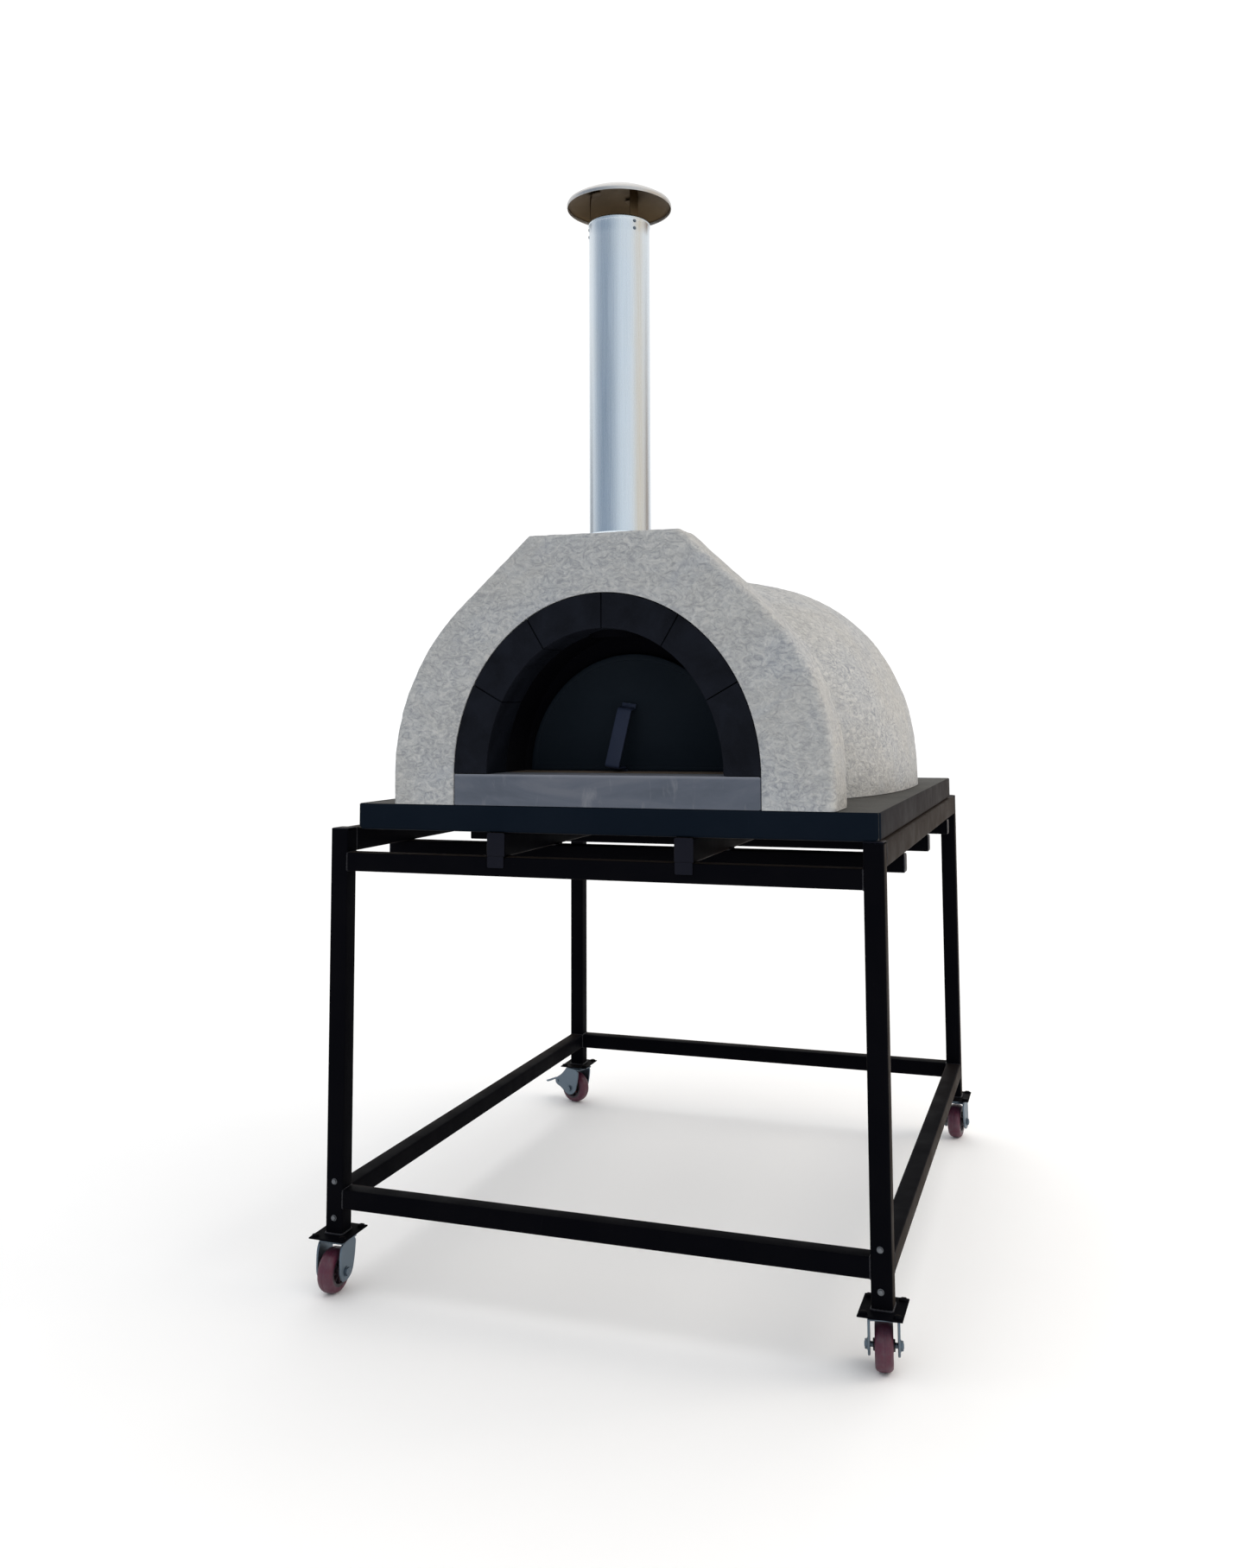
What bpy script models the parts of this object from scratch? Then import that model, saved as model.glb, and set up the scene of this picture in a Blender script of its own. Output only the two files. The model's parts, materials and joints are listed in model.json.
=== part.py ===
"""Wood fired pizza oven on a wheeled steel stand.

Frame: metres, +Z up, origin on the floor under the middle of the stand.  The oven's
mouth faces -Y.  Each sub-part is one closed mesh in an object of its own, and every
moving piece has its origin, or its parent empty, on the axis of its joint.
"""
from math import acos, atan2, cos, hypot, pi, radians, sin

import bmesh
import bpy
from mathutils import Matrix, Vector

# ---------------------------------------------------------------- driving dimensions
GAP = 0.0003                    # clearance between pieces that touch

STAND_WIDTH = 1.200             # outside of the legs, left to right
STAND_DEPTH = 1.400             # outside of the legs, front to back
TUBE = 0.040                    # square tube of the legs and end rails
DEEP_TUBE = 0.050               # height of the 40 x 50 tube in the bed of the stand
TUBE_WALL = 0.002
LEG_BOTTOM = 0.119              # top of the caster plates
LEG_TOP = 0.970
LOWER_RAIL_BASE = 0.172
UPPER_RAIL_BASE = 0.880
SKID_X = 0.205                  # the two skids stand this far either side of the middle
CROSS_TUBE_FRONTS = (0.269, 0.691, 1.136)   # front faces, behind the front of the stand
CROSS_TUBE_HEIGHT = 0.038
CROSS_TUBE_PROUD = 0.012        # their left ends stand out past the legs

OVEN_X = 0.030                  # the oven stands a little right of the stand's middle
TRAY_WIDTH = 1.129
TRAY_DEPTH = 1.305
TRAY_HEIGHT = 0.056
TRAY_WALL = 0.003

HEARTH_HEIGHT = 0.065           # cooking floor above the tray
FACADE_RADIUS = 0.480           # round flanks of the facade, about the hearth's middle
FACADE_HEIGHT = 0.565
FACADE_TOP_HALF = 0.165         # half the flat top
FACADE_DEPTH = 0.130
RING_OUTER = (0.333, 0.373)     # half width and rise of the brick arch, outside
RING_INNER = (0.258, 0.300)     # and inside
RING_DEPTH = 0.100
RING_JOINT = 0.0015             # mortar joint
VOUSSOIRS = 6
MOUTH = (0.222, 0.240)          # half width and rise of the oven's own mouth
MOUTH_FRONT = 0.205             # behind the front of the facade
GALLERY_OUTER = (0.330, 0.365)
GALLERY_BACK = 0.380
CHIMNEY_HALF = 0.110            # boss round the flue, behind the facade
CHIMNEY_BACK = 0.215

DOME_HALF_WIDTH = 0.519
DOME_MIDDLE = 0.893             # widest place, behind the front of the facade
DOME_FRONT = 0.740              # from the widest place to the front tip
DOME_BACK = 0.397               # and to the back
DOME_HEIGHT = 0.537
PLAN_POWER = 2.57               # superellipse powers of the plan and of the profile
PROFILE_POWER = 2.34
RENDER_THICKNESS = 0.020
BLANKET_THICKNESS = 0.050
REFRACTORY_THICKNESS = 0.060
INSULATION_BOARD = 0.025
EXPANSION_GAP = 0.007           # round the hearth, where the dome leans in over it
DOME_SEGMENTS = 36
DOME_RINGS = 8

DOOR = (0.240, 0.255)           # half width and rise
DOOR_THICKNESS = 0.014
HANDLE_WIDTH = 0.032
HANDLE_THICKNESS = 0.005
HANDLE_LEAN = radians(8)        # the bar is set askew on the door

FLUE_SETBACK = 0.118            # flue centre behind the front of the facade
FLUE_RADIUS = 0.066
FLUE_WALL = 0.002
FLUE_BASE = 1.482
FLUE_JOINT = 0.003              # rope packed joint between the pipe and the render
THROAT_RADIUS = 0.075           # smoke way under the pipe
FLUE_TOP = 2.284
CAP_RADIUS = 0.1145
CAP_RIM = 2.327
CAP_RISE = 0.038
ROUND = 36                      # segments of the flue and its cap

WHEEL_RADIUS = 0.045
TREAD_WIDTH = 0.034
CORE_RADIUS = 0.0315
TRAIL = 0.014                   # wheel centre behind the swivel axis
FORK_GAP = 0.050
FORK_SHEET = 0.005
AXLE_RADIUS = 0.0049
KINGPIN_RADIUS = 0.005
PLATE_SIZE = (0.084, 0.096, 0.003)
WHEEL_SEGMENTS = 28
PEDAL_PIVOT = (0.064, 0.060)    # behind the swivel axis, and above the floor
# name, side, end, heading of the trail from +X in degrees, brake
CASTERS = (
    ("front_left", -1, -1, 270, False),
    ("front_right", 1, -1, 99, False),
    ("rear_left", -1, 1, 160, True),
    ("rear_right", 1, 1, 84, False),
)

# ---------------------------------------------------------------- levels worked out
FRONT = -STAND_DEPTH / 2
HALF_W = STAND_WIDTH / 2
HALF_D = STAND_DEPTH / 2
BED_TOP = LEG_TOP
DEEP_BASE = BED_TOP - DEEP_TUBE
TRAY_BASE = BED_TOP + GAP
TRAY_TOP = BED_TOP + TRAY_HEIGHT
OVEN_BASE = TRAY_TOP + GAP
HEARTH_Z = TRAY_TOP + HEARTH_HEIGHT
FACADE_TOP = TRAY_TOP + FACADE_HEIGHT
FLUE_Y = FRONT + FLUE_SETBACK
GALLERY_FRONT = FRONT + FACADE_DEPTH + GAP
DOOR_BACK = FRONT + MOUTH_FRONT - GAP
DOOR_FACE = DOOR_BACK - DOOR_THICKNESS


# ---------------------------------------------------------------- tools
def clear_scene():
    for obj in list(bpy.data.objects):
        bpy.data.objects.remove(obj, do_unlink=True)


def material(name, colour, roughness, metallic=0.0):
    mat = bpy.data.materials.new(name)
    mat.use_nodes = True
    shader = mat.node_tree.nodes["Principled BSDF"]
    shader.inputs["Base Color"].default_value = (*colour, 1.0)
    shader.inputs["Roughness"].default_value = roughness
    shader.inputs["Metallic"].default_value = metallic
    return mat


PAINT = ((0.012, 0.012, 0.015), 0.42, 0.3)
ZINC = ((0.42, 0.46, 0.52), 0.35, 0.9)
STAINLESS = ((0.55, 0.57, 0.60), 0.28, 1.0)
STUCCO = ((0.36, 0.37, 0.385), 0.95, 0.0)
BRICK = ((0.010, 0.011, 0.015), 0.75, 0.0)
SLATE = ((0.085, 0.098, 0.125), 0.6, 0.0)
REFRACTORY = ((0.32, 0.27, 0.21), 0.9, 0.0)
CASTABLE = ((0.06, 0.06, 0.065), 0.9, 0.0)
BLANKET = ((0.75, 0.74, 0.70), 1.0, 0.0)
DOOR_STEEL = ((0.008, 0.010, 0.014), 0.5, 0.4)
POLYURETHANE = ((0.20, 0.030, 0.070), 0.45, 0.0)
WHEEL_CORE = ((0.10, 0.10, 0.11), 0.5, 0.2)


def link(name, mesh, look, parent=None):
    obj = bpy.data.objects.new(name, mesh)
    bpy.context.collection.objects.link(obj)
    if look is not None:
        mat = material(name, *look)
        if len(mesh.materials) == 0:
            mesh.materials.append(None)
        obj.material_slots[0].link = "OBJECT"
        obj.material_slots[0].material = mat
    obj.parent = parent
    return obj


def finish_mesh(bm, name, smooth=False):
    bmesh.ops.recalc_face_normals(bm, faces=bm.faces)
    mesh = bpy.data.meshes.new(name)
    bm.to_mesh(mesh)
    bm.free()
    if smooth:
        mesh.shade_smooth()
        mesh.set_sharp_from_angle(angle=radians(35))
    return mesh


def loop_faces(bm, first, second):
    """Join two closed loops of the same number of vertices with quads."""
    count = len(first)
    for i in range(count):
        j = (i + 1) % count
        bm.faces.new((first[i], first[j], second[j], second[i]))


def box_mesh(name, low, high, bevel=0.0):
    bm = bmesh.new()
    bmesh.ops.create_cube(bm, size=1.0)
    for vert in bm.verts:
        for k in range(3):
            vert.co[k] = low[k] if vert.co[k] < 0 else high[k]
    if bevel:
        bmesh.ops.bevel(bm, geom=bm.edges[:], offset=bevel, segments=1, affect="EDGES")
    return finish_mesh(bm, name)


def prism_mesh(name, outline, start, end, axis="Y"):
    """Extrude a closed outline along an axis.

    The outline holds (x, z) for axis Y, (y, z) for axis X and (x, y) for axis Z.
    """
    place = {
        "X": lambda p, q, along: (along, p, q),
        "Y": lambda p, q, along: (p, along, q),
        "Z": lambda p, q, along: (p, q, along),
    }[axis]
    bm = bmesh.new()
    near = [bm.verts.new(place(p, q, start)) for p, q in outline]
    far = [bm.verts.new(place(p, q, end)) for p, q in outline]
    bm.faces.new(near)
    bm.faces.new(far)
    loop_faces(bm, near, far)
    return finish_mesh(bm, name)


def turned_mesh(name, profile, segments):
    """Spin a closed (radius, height) profile round Z."""
    bm = bmesh.new()
    rings = []
    for k in range(segments):
        angle = 2 * pi * k / segments
        rings.append([bm.verts.new((r * cos(angle), r * sin(angle), z)) for r, z in profile])
    for k in range(segments):
        loop_faces(bm, rings[k], rings[(k + 1) % segments])
    return finish_mesh(bm, name, smooth=True)


def rod_mesh(name, radius, low, high, segments=16, axis="Z"):
    bm = bmesh.new()
    bmesh.ops.create_cone(bm, cap_ends=True, segments=segments, radius1=radius,
                          radius2=radius, depth=high - low)
    bmesh.ops.translate(bm, verts=bm.verts, vec=(0, 0, (low + high) / 2))
    turn = {"Z": Matrix(), "Y": Matrix.Rotation(-pi / 2, 4, "X"),
            "X": Matrix.Rotation(pi / 2, 4, "Y")}[axis]
    bmesh.ops.transform(bm, matrix=turn, verts=bm.verts)
    return finish_mesh(bm, name, smooth=True)


def helper(mesh):
    """A guide body for a Boolean, not part of the model."""
    obj = link("guide_" + mesh.name, mesh, None)
    obj.hide_render = True
    obj.display_type = "WIRE"
    return obj


def boolean(obj, tool, operation):
    mod = obj.modifiers.new(operation.lower(), "BOOLEAN")
    mod.operation = operation
    mod.object = tool
    return mod


def baked(mesh, cutters=(), additions=()):
    """One closed mesh: the additions joined to the first mesh, then the cutters taken out."""
    obj = link("work", mesh, None)
    tools = [link("tool", m, None) for m in (*additions, *cutters)]
    for tool in tools[:len(additions)]:
        boolean(obj, tool, "UNION")
    for tool in tools[len(additions):]:
        boolean(obj, tool, "DIFFERENCE")
    graph = bpy.context.evaluated_depsgraph_get()
    result = bpy.data.meshes.new_from_object(obj.evaluated_get(graph))
    result.name = mesh.name
    for tool in (obj, *tools):
        bpy.data.objects.remove(tool, do_unlink=True)
    return result


def half_ellipse(half_width, rise, steps, centre=0.0, base=0.0):
    """Points of an arch from its right springing over the crown to its left one."""
    points = []
    for k in range(steps + 1):
        angle = pi * k / steps
        points.append((centre + half_width * cos(angle), base + rise * sin(angle)))
    return points


def arch_outline(half_width, rise, foot, steps=24):
    """An arch on straight legs that stand on the level foot."""
    arch = half_ellipse(half_width, rise, steps, OVEN_X, HEARTH_Z)
    return [(OVEN_X + half_width, foot), *arch, (OVEN_X - half_width, foot)]


def empty(name, location, heading=0.0):
    obj = bpy.data.objects.new(name, None)
    bpy.context.collection.objects.link(obj)
    obj.location = location
    obj.rotation_euler = (0, 0, heading)
    return obj


# ---------------------------------------------------------------- stand
def hollow_tube(name, axis, low, high):
    """A rectangular tube, open at both ends, that fills the box from low to high."""
    along = "XYZ".index(axis)
    across = [k for k in range(3) if k != along]
    bm = bmesh.new()

    def loop(end, inset):
        verts = []
        for p, q in ((0, 0), (1, 0), (1, 1), (0, 1)):
            co = [0.0, 0.0, 0.0]
            co[along] = (low, high)[end][along]
            for k, side in zip(across, (p, q)):
                co[k] = high[k] - inset if side else low[k] + inset
            verts.append(bm.verts.new(co))
        return verts

    outer = [loop(0, 0.0), loop(1, 0.0)]
    inner = [loop(0, TUBE_WALL), loop(1, TUBE_WALL)]
    loop_faces(bm, outer[0], outer[1])
    loop_faces(bm, inner[0], inner[1])
    loop_faces(bm, outer[0], inner[0])
    loop_faces(bm, outer[1], inner[1])
    return link(name, finish_mesh(bm, name), PAINT)


def build_stand():
    for name, side, end, _, _ in CASTERS:
        x = side * (HALF_W - TUBE / 2)
        y = end * (HALF_D - TUBE / 2)
        hollow_tube("leg_" + name, "Z", (x - TUBE / 2, y - TUBE / 2, LEG_BOTTOM),
                    (x + TUBE / 2, y + TUBE / 2, LEG_TOP))

    inside_x = HALF_W - TUBE - GAP
    inside_y = HALF_D - TUBE - GAP
    for end, sign in (("front", -1), ("rear", 1)):
        y = sorted((sign * HALF_D, sign * (HALF_D - TUBE)))
        for level, base in (("lower", LOWER_RAIL_BASE), ("upper", UPPER_RAIL_BASE)):
            top = base + TUBE - GAP
            hollow_tube(f"{level}_rail_{end}", "X", (-inside_x, y[0], base), (inside_x, y[1], top))
    for side, sign in (("left", -1), ("right", 1)):
        x = sorted((sign * HALF_W, sign * (HALF_W - TUBE)))
        hollow_tube(f"lower_rail_{side}", "Y", (x[0], -inside_y, LOWER_RAIL_BASE),
                    (x[1], inside_y, LOWER_RAIL_BASE + TUBE))
        hollow_tube(f"bed_rail_{side}", "Y", (x[0], -inside_y, DEEP_BASE), (x[1], inside_y, BED_TOP))
        centre = sign * SKID_X
        hollow_tube(f"skid_{side}", "Y", (centre - TUBE / 2, -HALF_D, DEEP_BASE),
                    (centre + TUBE / 2, HALF_D, BED_TOP))
    for k, setback in enumerate(CROSS_TUBE_FRONTS):
        y = FRONT + setback
        hollow_tube(f"cross_tube_{k + 1}", "X",
                    (-HALF_W - CROSS_TUBE_PROUD, y, DEEP_BASE - GAP - CROSS_TUBE_HEIGHT),
                    (HALF_W, y + TUBE, DEEP_BASE - GAP))


def build_tray():
    low = Vector((OVEN_X - TRAY_WIDTH / 2, FRONT, TRAY_BASE))
    high = Vector((OVEN_X + TRAY_WIDTH / 2, FRONT + TRAY_DEPTH, TRAY_TOP))
    wall = Vector((TRAY_WALL, TRAY_WALL, TRAY_WALL))
    pocket_low = low + wall
    pocket_high = Vector((high.x - TRAY_WALL, high.y - TRAY_WALL, high.z + TRAY_WALL))
    pan = baked(box_mesh("base_tray", low, high), [box_mesh("pocket", pocket_low, pocket_high)])
    link("base_tray", pan, PAINT)
    slip = Vector((GAP, GAP, GAP))
    slab_high = pocket_high - slip
    slab_high.z = TRAY_TOP
    link("base_slab", box_mesh("base_slab", pocket_low + slip, slab_high), CASTABLE)


# ---------------------------------------------------------------- oven front
def facade_outline():
    """Straight feet, round flanks, chamfers tangent to them, and a flat top."""
    corner = (FACADE_TOP_HALF, FACADE_HEIGHT - HEARTH_HEIGHT)
    tangent_angle = atan2(corner[1], corner[0]) - acos(FACADE_RADIUS / hypot(*corner))
    steps = 14
    flank = [(FACADE_RADIUS * cos(tangent_angle * k / steps),
              FACADE_RADIUS * sin(tangent_angle * k / steps)) for k in range(steps + 1)]
    right = [(FACADE_RADIUS, OVEN_BASE - HEARTH_Z), *flank, corner]
    left = [(-x, z) for x, z in reversed(right)]
    return [(OVEN_X + x, HEARTH_Z + z) for x, z in right + left]


def gallery_mesh(grow=0.0):
    """Outside of the arched gallery that joins the facade to the dome."""
    wide, rise = GALLERY_OUTER
    outline = arch_outline(wide + grow, rise + grow, OVEN_BASE - grow)
    return prism_mesh("gallery", outline, GALLERY_FRONT, FRONT + GALLERY_BACK + grow)


def chimney_mesh(grow=0.0):
    """Outside of the boss that carries the flue, sloping down to the gallery."""
    back = FRONT + CHIMNEY_BACK + grow
    foot = HEARTH_Z + GALLERY_OUTER[1] * 0.5
    profile = [
        (GALLERY_FRONT, foot),
        (FRONT + GALLERY_BACK - GAP + grow, foot),
        (FRONT + GALLERY_BACK - GAP + grow, TRAY_TOP + DOME_HEIGHT * 0.72),
        (back, FACADE_TOP),
        (GALLERY_FRONT, FACADE_TOP),
    ]
    low = OVEN_X - CHIMNEY_HALF - grow
    high = OVEN_X + CHIMNEY_HALF + grow
    return prism_mesh("chimney", profile, low, high, axis="X")


def build_front():
    """Facade slab, the gallery behind it, and the flue bore that runs down through both."""
    below = OVEN_BASE - 0.02
    slack = 0.01
    joint = FRONT + FACADE_DEPTH

    def bores():
        """Cutters for the pipe's hole, and for the wider throat below the pipe."""
        hole = rod_mesh("bore", FLUE_RADIUS + FLUE_JOINT, FLUE_BASE - slack, FACADE_TOP + slack,
                        segments=ROUND)
        throat = rod_mesh("throat", THROAT_RADIUS, HEARTH_Z + RING_INNER[1] * 0.8, FLUE_BASE,
                          segments=ROUND)
        for mesh in (hole, throat):
            mesh.transform(Matrix.Translation((OVEN_X, FLUE_Y, 0)))
        return [hole, throat]

    slab = prism_mesh("facade", facade_outline(), FRONT, joint)
    ring = arch_outline(RING_OUTER[0] + RING_JOINT, RING_OUTER[1] + RING_JOINT, below)
    ring_hole = prism_mesh("ring_hole", ring, FRONT - slack, FRONT + RING_DEPTH + GAP)
    slab_tunnel = prism_mesh("slab_tunnel", arch_outline(*RING_INNER, below), FRONT, joint + slack)
    link("facade", baked(slab, cutters=[ring_hole, slab_tunnel, *bores()]), STUCCO)

    tunnel = prism_mesh("tunnel", arch_outline(*RING_INNER, below), FRONT, FRONT + MOUTH_FRONT)
    mouth = prism_mesh("mouth", arch_outline(*MOUTH, below),
                       FRONT + RING_DEPTH, FRONT + GALLERY_BACK + slack)
    gallery = baked(gallery_mesh(), cutters=[tunnel, mouth, *bores()], additions=[chimney_mesh()])
    link("gallery", gallery, STUCCO)

    build_voussoirs()
    link("hearth_sill",
         box_mesh("hearth_sill", (OVEN_X - RING_OUTER[0], FRONT, OVEN_BASE),
                  (OVEN_X + RING_OUTER[0], FRONT + RING_DEPTH, HEARTH_Z)), SLATE)


def build_voussoirs():
    """Six arch bricks with mortar joints between them, from the right springing over."""
    span = pi / VOUSSOIRS
    steps = 5
    for k in range(VOUSSOIRS):
        half_joint = RING_JOINT / 2 / RING_INNER[0]
        first = k * span + half_joint
        last = (k + 1) * span - half_joint
        angles = [first + (last - first) * i / steps for i in range(steps + 1)]
        outer = [(OVEN_X + RING_OUTER[0] * cos(a), HEARTH_Z + GAP + RING_OUTER[1] * sin(a))
                 for a in angles]
        inner = [(OVEN_X + RING_INNER[0] * cos(a), HEARTH_Z + GAP + RING_INNER[1] * sin(a))
                 for a in reversed(angles)]
        name = f"arch_brick_{k + 1}"
        link(name, prism_mesh(name, outer + inner, FRONT, FRONT + RING_DEPTH), BRICK)


# ---------------------------------------------------------------- dome and hearth
def signed_power(value, power):
    return (abs(value) ** power) * (1 if value >= 0 else -1)


def plan_point(angle, inset):
    """Dome outline on the ground, seen from above; inset shrinks it evenly."""
    half_width = DOME_HALF_WIDTH - inset
    reach = (DOME_BACK if sin(angle) > 0 else DOME_FRONT) - inset
    x = half_width * signed_power(cos(angle), 2 / PLAN_POWER)
    y = reach * signed_power(sin(angle), 2 / PLAN_POWER)
    return x, y


def dome_surface(bm, inset, base):
    """Rings of vertices from the foot up, and the crown."""
    rings = []
    height = DOME_HEIGHT - inset
    for j in range(DOME_RINGS):
        lift = (pi / 2) * j / DOME_RINGS
        shrink = cos(lift) ** (2 / PROFILE_POWER)
        z = base + height * sin(lift) ** (2 / PROFILE_POWER)
        ring = []
        for k in range(DOME_SEGMENTS):
            x, y = plan_point(2 * pi * k / DOME_SEGMENTS, inset)
            ring.append(bm.verts.new((OVEN_X + x * shrink, FRONT + DOME_MIDDLE + y * shrink, z)))
        rings.append(ring)
    crown = bm.verts.new((OVEN_X, FRONT + DOME_MIDDLE, base + height))
    for lower, upper in zip(rings, rings[1:]):
        loop_faces(bm, lower, upper)
    top = rings[-1]
    for k in range(DOME_SEGMENTS):
        bm.faces.new((top[k], top[(k + 1) % DOME_SEGMENTS], crown))
    return rings[0]


def dome_layer(name, outside, inside, look, cut_mouth=False):
    """One shell of the dome between two insets, cut round the gallery."""
    bm = bmesh.new()
    foot_out = dome_surface(bm, outside, OVEN_BASE)
    foot_in = dome_surface(bm, inside - GAP, OVEN_BASE)
    loop_faces(bm, foot_out, foot_in)
    shell = finish_mesh(bm, name, smooth=True)
    cutters = [gallery_mesh(GAP), chimney_mesh(GAP)]
    if cut_mouth:
        passage = arch_outline(*MOUTH, OVEN_BASE - 0.02)
        cutters.append(prism_mesh("passage", passage, FRONT + RING_DEPTH, FRONT + 0.52))
    link(name, baked(shell, cutters), look)


def hearth_outline():
    """Passage through the gallery and mouth, then the round chamber."""
    inset = RENDER_THICKNESS + BLANKET_THICKNESS + REFRACTORY_THICKNESS + EXPANSION_GAP
    start = FRONT + RING_DEPTH + 2 * GAP
    step_y = FRONT + MOUTH_FRONT
    wide = RING_INNER[0] - GAP
    narrow = MOUTH[0] - GAP
    middle = FRONT + DOME_MIDDLE
    chamber = []
    steps = 48
    for k in range(steps + 1):
        angle = -pi / 2 + 2 * pi * k / steps
        x, y = plan_point(angle, inset)
        chamber.append((x, middle + y))
    throat = FRONT + GALLERY_BACK + 0.004
    right = [(x, y) for x, y in chamber if x > narrow and y > throat]
    left = [(x, y) for x, y in chamber if x < -narrow and y > throat]
    back = [(x, y) for x, y in chamber if abs(x) <= narrow and y > middle]
    path = [(wide, start), (wide, step_y - GAP), (narrow, step_y - GAP), (narrow, throat),
            *right, *back, *left,
            (-narrow, throat), (-narrow, step_y - GAP), (-wide, step_y - GAP), (-wide, start)]
    return [(OVEN_X + x, y) for x, y in path]


def build_dome():
    inner = RENDER_THICKNESS + BLANKET_THICKNESS
    dome_layer("render_shell", 0.0, RENDER_THICKNESS, STUCCO)
    dome_layer("insulation_blanket", RENDER_THICKNESS, inner, BLANKET)
    dome_layer("refractory_dome", inner, inner + REFRACTORY_THICKNESS, REFRACTORY, cut_mouth=True)
    outline = hearth_outline()
    board_top = OVEN_BASE + INSULATION_BOARD
    link("insulation_board", prism_mesh("insulation_board", outline, OVEN_BASE, board_top, "Z"), BLANKET)
    link("hearth_floor", prism_mesh("hearth_floor", outline, board_top + GAP, HEARTH_Z, "Z"), REFRACTORY)


# ---------------------------------------------------------------- door
def build_door():
    pivot = empty("door_slide", (OVEN_X, DOOR_FACE, HEARTH_Z))
    lift = 2 * GAP
    bend = half_ellipse(DOOR[0], DOOR[1] - lift, 28, 0.0, lift)
    panel = prism_mesh("door_panel", bend, 0.0, DOOR_THICKNESS)
    link("door_panel", panel, DOOR_STEEL, pivot)

    # The handle is one bent flat bar: out from the door, down the grip and back in.
    half = HANDLE_THICKNESS
    path = [(-GAP, 0.137), (-0.026, 0.137), (-0.060, 0.013), (-GAP, 0.013)]
    outside = [path[0], (path[1][0] - half, path[1][1]), (path[2][0] - half, path[2][1] - half),
               (path[3][0], path[3][1] - half)]
    inside = [(path[3][0], path[3][1]), (path[2][0] + half, path[2][1]),
              (path[1][0] + half * 0.6, path[1][1] - half), (path[0][0], path[0][1] - half)]
    bar = prism_mesh("door_handle", outside + inside, -HANDLE_WIDTH / 2, HANDLE_WIDTH / 2, axis="X")
    centre = Vector((-0.0165, 0, 0.075))
    to_middle = Matrix.Translation((0, 0, -0.075))
    bar.transform(Matrix.Translation(centre) @ Matrix.Rotation(HANDLE_LEAN, 4, "Y") @ to_middle)
    link("door_handle", bar, DOOR_STEEL, pivot)


# ---------------------------------------------------------------- flue
def build_flue():
    here = Vector((OVEN_X, FLUE_Y, 0))

    def turned(name, profile, look):
        obj = link(name, turned_mesh(name, profile, ROUND), look)
        obj.location = here

    inner = FLUE_RADIUS - FLUE_WALL
    turned("flue_pipe", [(inner, FLUE_BASE), (FLUE_RADIUS, FLUE_BASE),
                         (FLUE_RADIUS, FLUE_TOP), (inner, FLUE_TOP)], STAINLESS)

    seat = FACADE_TOP + GAP
    snug = FLUE_RADIUS + 2 * GAP
    turned("flue_collar", [(snug, seat), (0.092, seat), (0.092, seat + 0.002),
                           (snug + 0.002, seat + 0.003), (snug + 0.002, seat + 0.007),
                           (snug, seat + 0.007)], STAINLESS)

    build_cap(here)


def cap_height(radius, drop=0.0):
    return CAP_RIM - drop + CAP_RISE * (1 - (radius / CAP_RADIUS) ** 2)


def build_cap(here):
    sheet = 0.0025
    steps = 5
    bm = bmesh.new()
    rings = []
    for drop in (0.0, sheet):
        layer = []
        for j in range(steps):
            radius = CAP_RADIUS * (1 - j / steps)
            z = cap_height(radius, drop)
            layer.append([bm.verts.new((radius * cos(2 * pi * k / ROUND),
                                        radius * sin(2 * pi * k / ROUND), z)) for k in range(ROUND)])
        for lower, upper in zip(layer, layer[1:]):
            loop_faces(bm, lower, upper)
        apex = bm.verts.new((0, 0, cap_height(0.0, drop)))
        for k in range(ROUND):
            bm.faces.new((layer[-1][k], layer[-1][(k + 1) % ROUND], apex))
        rings.append(layer[0])
    loop_faces(bm, rings[0], rings[1])
    cap = link("rain_cap", finish_mesh(bm, "rain_cap", smooth=True), STAINLESS)
    cap.location = here

    # A band inside the pipe carries three flat straps up to the cap's underside.
    outer = FLUE_RADIUS - FLUE_WALL - GAP
    inner = outer - 0.002
    band = turned_mesh("cap_bracket", [(inner, FLUE_TOP - 0.035), (outer, FLUE_TOP - 0.035),
                                       (outer, FLUE_TOP - 0.015), (inner, FLUE_TOP - 0.015)], ROUND)
    straps = []
    for k in range(3):
        strap = box_mesh("strap", (inner - 0.0009, -0.010, FLUE_TOP - 0.030),
                         (outer - 0.0009, 0.010, cap_height(outer, sheet) - 2 * GAP))
        strap.transform(Matrix.Rotation(radians(200 + 120 * k), 4, "Z"))
        straps.append(strap)
    bracket = link("cap_bracket", baked(band, additions=straps), STAINLESS)
    bracket.location = here


# ---------------------------------------------------------------- casters
def plate_mesh():
    """Top plate with its upper race and the kingpin that hangs below."""
    wide, long_, thick = PLATE_SIZE
    top = LEG_BOTTOM - GAP
    plate = box_mesh("caster_plate", (-wide / 2, -long_ / 2, top - thick),
                     (wide / 2, long_ / 2, top))
    race = rod_mesh("race", 0.026, top - thick - 0.004, top - thick / 2, 24)
    pin = rod_mesh("pin", KINGPIN_RADIUS, 0.0995, top - thick / 2)
    head = rod_mesh("head", 0.0085, 0.0990, 0.1022)
    holes = []
    for sx in (-1, 1):
        for sy in (-1, 1):
            hole = rod_mesh("hole", 0.0045, top - 2 * thick, top + thick, 8)
            hole.transform(Matrix.Translation((sx * (wide / 2 - 0.010), sy * (long_ / 2 - 0.011), 0)))
            holes.append(hole)
    return baked(plate, cutters=holes, additions=[race, pin, head])


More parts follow.
